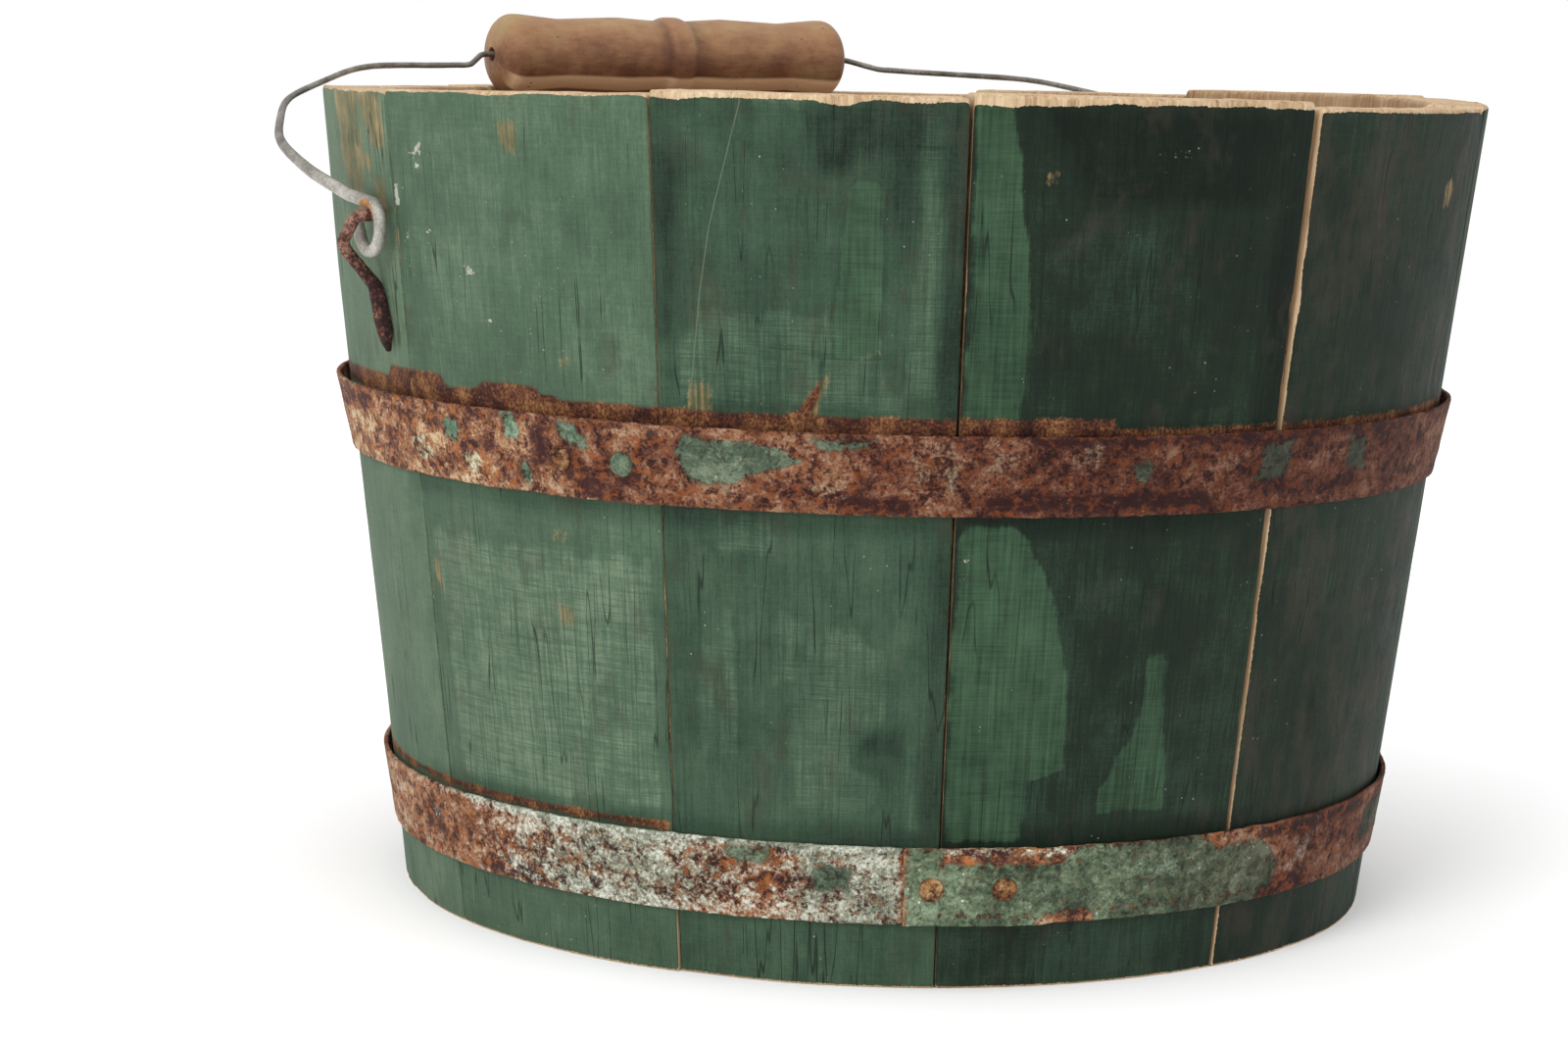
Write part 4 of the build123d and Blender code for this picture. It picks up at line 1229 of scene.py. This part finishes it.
def buildGrip(finish):
    low, high = nodeSpan("grip")
    middle = (np.array(low) + np.array(high)) / 2
    half = (high[0] - low[0]) / 2
    shares, cuts = (np.array(v) for v in zip(*grip["turning"]))
    sweep = np.sin(np.linspace(0.05, 1.0, 30) * math.pi / 2)
    domeStart = 1 - grip["dome"] / half
    straight = np.linspace(0, domeStart, int(90 / fine))
    stations = np.concatenate([straight, domeStart + (1 - domeStart) * sweep])
    # ease the turned line so that it has no corners
    cut = np.interp(stations, shares, cuts)
    for _ in range(3):
        cut[1:-1] = (cut[:-2] + 2 * cut[1:-1] + cut[2:]) / 4
    intoDome = np.clip((stations * half - (half - grip["dome"])) / (grip["dome"] + 0.08), 0, 1)
    cut = cut + grip["radius"] * (1 - np.sqrt(1 - intoDome**2.2))
    x = np.concatenate([-stations[:0:-1], stations]) * half
    r = grip["radius"] - np.concatenate([cut[:0:-1], cut])
    endIn = np.array([0.75, 0.5, 0.3, 0.0])
    r = np.maximum(r, grip["bore"] + 0.2)
    ends = grip["bore"] + (r[-1] - grip["bore"]) * endIn
    bore = np.linspace(half - 0.6, -half + 0.6, 12)
    profileX = np.concatenate([x, [half - 0.02, half - 0.1, half - 0.2, half - 0.4], bore,
                               [-half + 0.4, -half + 0.2, -half + 0.1, -half + 0.02]])
    profileR = np.concatenate([r, ends, np.full(12, grip["bore"]), ends[::-1]])
    around = int(72 / fine)
    turn = np.linspace(0, 2 * math.pi, around, endpoint=False)
    count = len(profileX)
    gx = np.repeat(profileX[:, None], around, 1)
    cosine, sine = np.cos(turn)[None], np.sin(turn)[None]
    dents = -0.30 * smooth(layered(gx / 7.0, cosine * 2.2, sine * 2.2, 5), 0.35, 0.9)
    uneven = 0.12 * layered(gx / 16.0, cosine * 1.2, sine * 1.2, 8)
    outer = (np.arange(count) < len(x))[:, None]
    gr = profileR[:, None] + outer * (dents + uneven - 0.05)
    points = np.stack([gx, gr * cosine, gr * sine], -1).reshape(-1, 3)
    index = np.arange(count * around).reshape(count, around)
    below, beside = np.roll(index, -1, axis=0), np.roll(index, -1, axis=1)
    both = np.roll(below, -1, axis=1)
    faces = np.stack([index, beside, both, below], -1).reshape(-1, 4)
    # painted reflected light: a pale strip low on the front; painted shade: a darker band above it and in the
    # groove; painted light: a lighter top; green smears on top
    angle = np.degrees(np.arctan2(points[:, 2], -points[:, 1]))
    strip = smooth(angle, -64.0, -61.0) * (1 - smooth(angle, -33.5, -31.5))
    strip = strip * (1 - smooth(np.abs(points[:, 0]), half - 4.0, half - 1.0))
    lowSide = smooth(angle, -34.0, -31.0) * (1 - smooth(angle, -8.0, 18.0))
    groove = np.interp(np.abs(points[:, 0]) / half, [0.0, 0.05, 0.08, 0.16], [0.0, 0.0, 1.0, 0.0])
    onTop = smooth(angle, 20.0, 60.0) * (1 - smooth(angle, 120.0, 160.0))
    marks = {
        "strip": points / 10.0,
        # painted light and shade: lighter on top, darker on the low side and in the groove
        "lift": 0.10 * onTop - 0.06 * lowSide - 0.15 * groove,
        # painted reflected light: a pale strip low on the front
        "pale": 0.9 * strip,
        "tint": 0.45 * onTop,
    }
    makePiece("turned_grip", points + middle, faces, finish, "grip", "turned_grip", "grip", marks)


buildGrip(gripFinish())
print("grip done")


# Camera, floor and light

studio = {
    "azimuth": -32.6,
    "distance": 983.1,
    "eye": 224.8,
    "lens": 85.5,
    "turnLeft": 1.63,
    "lookDown": 7.64,
    "roll": 1.28,
}


def buildCamera():
    camera = bpy.data.cameras.new("camera")
    camera.lens = studio["lens"]
    camera.sensor_width = 36.0
    camera.clip_end = 50.0
    seat = addObject("camera", camera)
    azimuth = math.radians(studio["azimuth"])
    spot = Vector((math.sin(azimuth), -math.cos(azimuth), 0.0)) * studio["distance"]
    spot.z = studio["eye"]
    turn = Matrix.Rotation(azimuth + math.radians(studio["turnLeft"]), 4, "Z")
    tip = Matrix.Rotation(math.radians(90.0 - studio["lookDown"]), 4, "X")
    roll = Matrix.Rotation(math.radians(studio["roll"]), 4, "Z")
    seat.matrix_world = Matrix.Translation(spot * mm) @ turn @ tip @ roll
    bpy.context.scene.camera = seat


def buildFloor():
    size = 6.0
    mesh = bpy.data.meshes.new("studioFloor")
    corners = [(-size, -size, 0), (size, -size, 0), (size, size, 0), (-size, size, 0)]
    mesh.from_pydata(corners, [], [(0, 1, 2, 3)])
    material, tree, shader = newMaterial("paleFloor")
    shader.inputs["Base Color"].default_value = (1.0, 1.0, 1.0, 1.0)
    shader.inputs["Roughness"].default_value = 0.9
    shader.inputs["Specular IOR Level"].default_value = 0.0
    mesh.materials.append(material)
    floor = addObject("studioFloor", mesh)


def buildLamp(name, spot, target, size, power):
    lamp = bpy.data.lights.new(name, "AREA")
    lamp.shape = "DISK"
    lamp.size = size
    lamp.energy = power
    seat = addObject(name, lamp)
    seat.location = spot
    seat.rotation_euler = (Vector(target) - Vector(spot)).to_track_quat("-Z", "Y").to_euler()


def buildWorld():
    world = bpy.data.worlds.new("studioWhite")
    world.use_nodes = True
    ground = world.node_tree.nodes["Background"]
    ground.inputs["Color"].default_value = (1.0, 1.0, 1.0, 1.0)
    ground.inputs["Strength"].default_value = 1.0
    bpy.context.scene.world = world


buildCamera()
buildFloor()
buildWorld()
buildLamp("keyLamp", (-1.9, -1.1, 1.7), (0.0, 0.0, 0.1), 1.2, 27.0)
buildLamp("topLamp", (-0.2, -0.3, 2.2), (0.0, 0.0, 0.1), 1.4, 8.0)
bpy.context.scene.view_settings.view_transform = "Standard"
bpy.context.scene.view_settings.look = "None"
print("studio done")
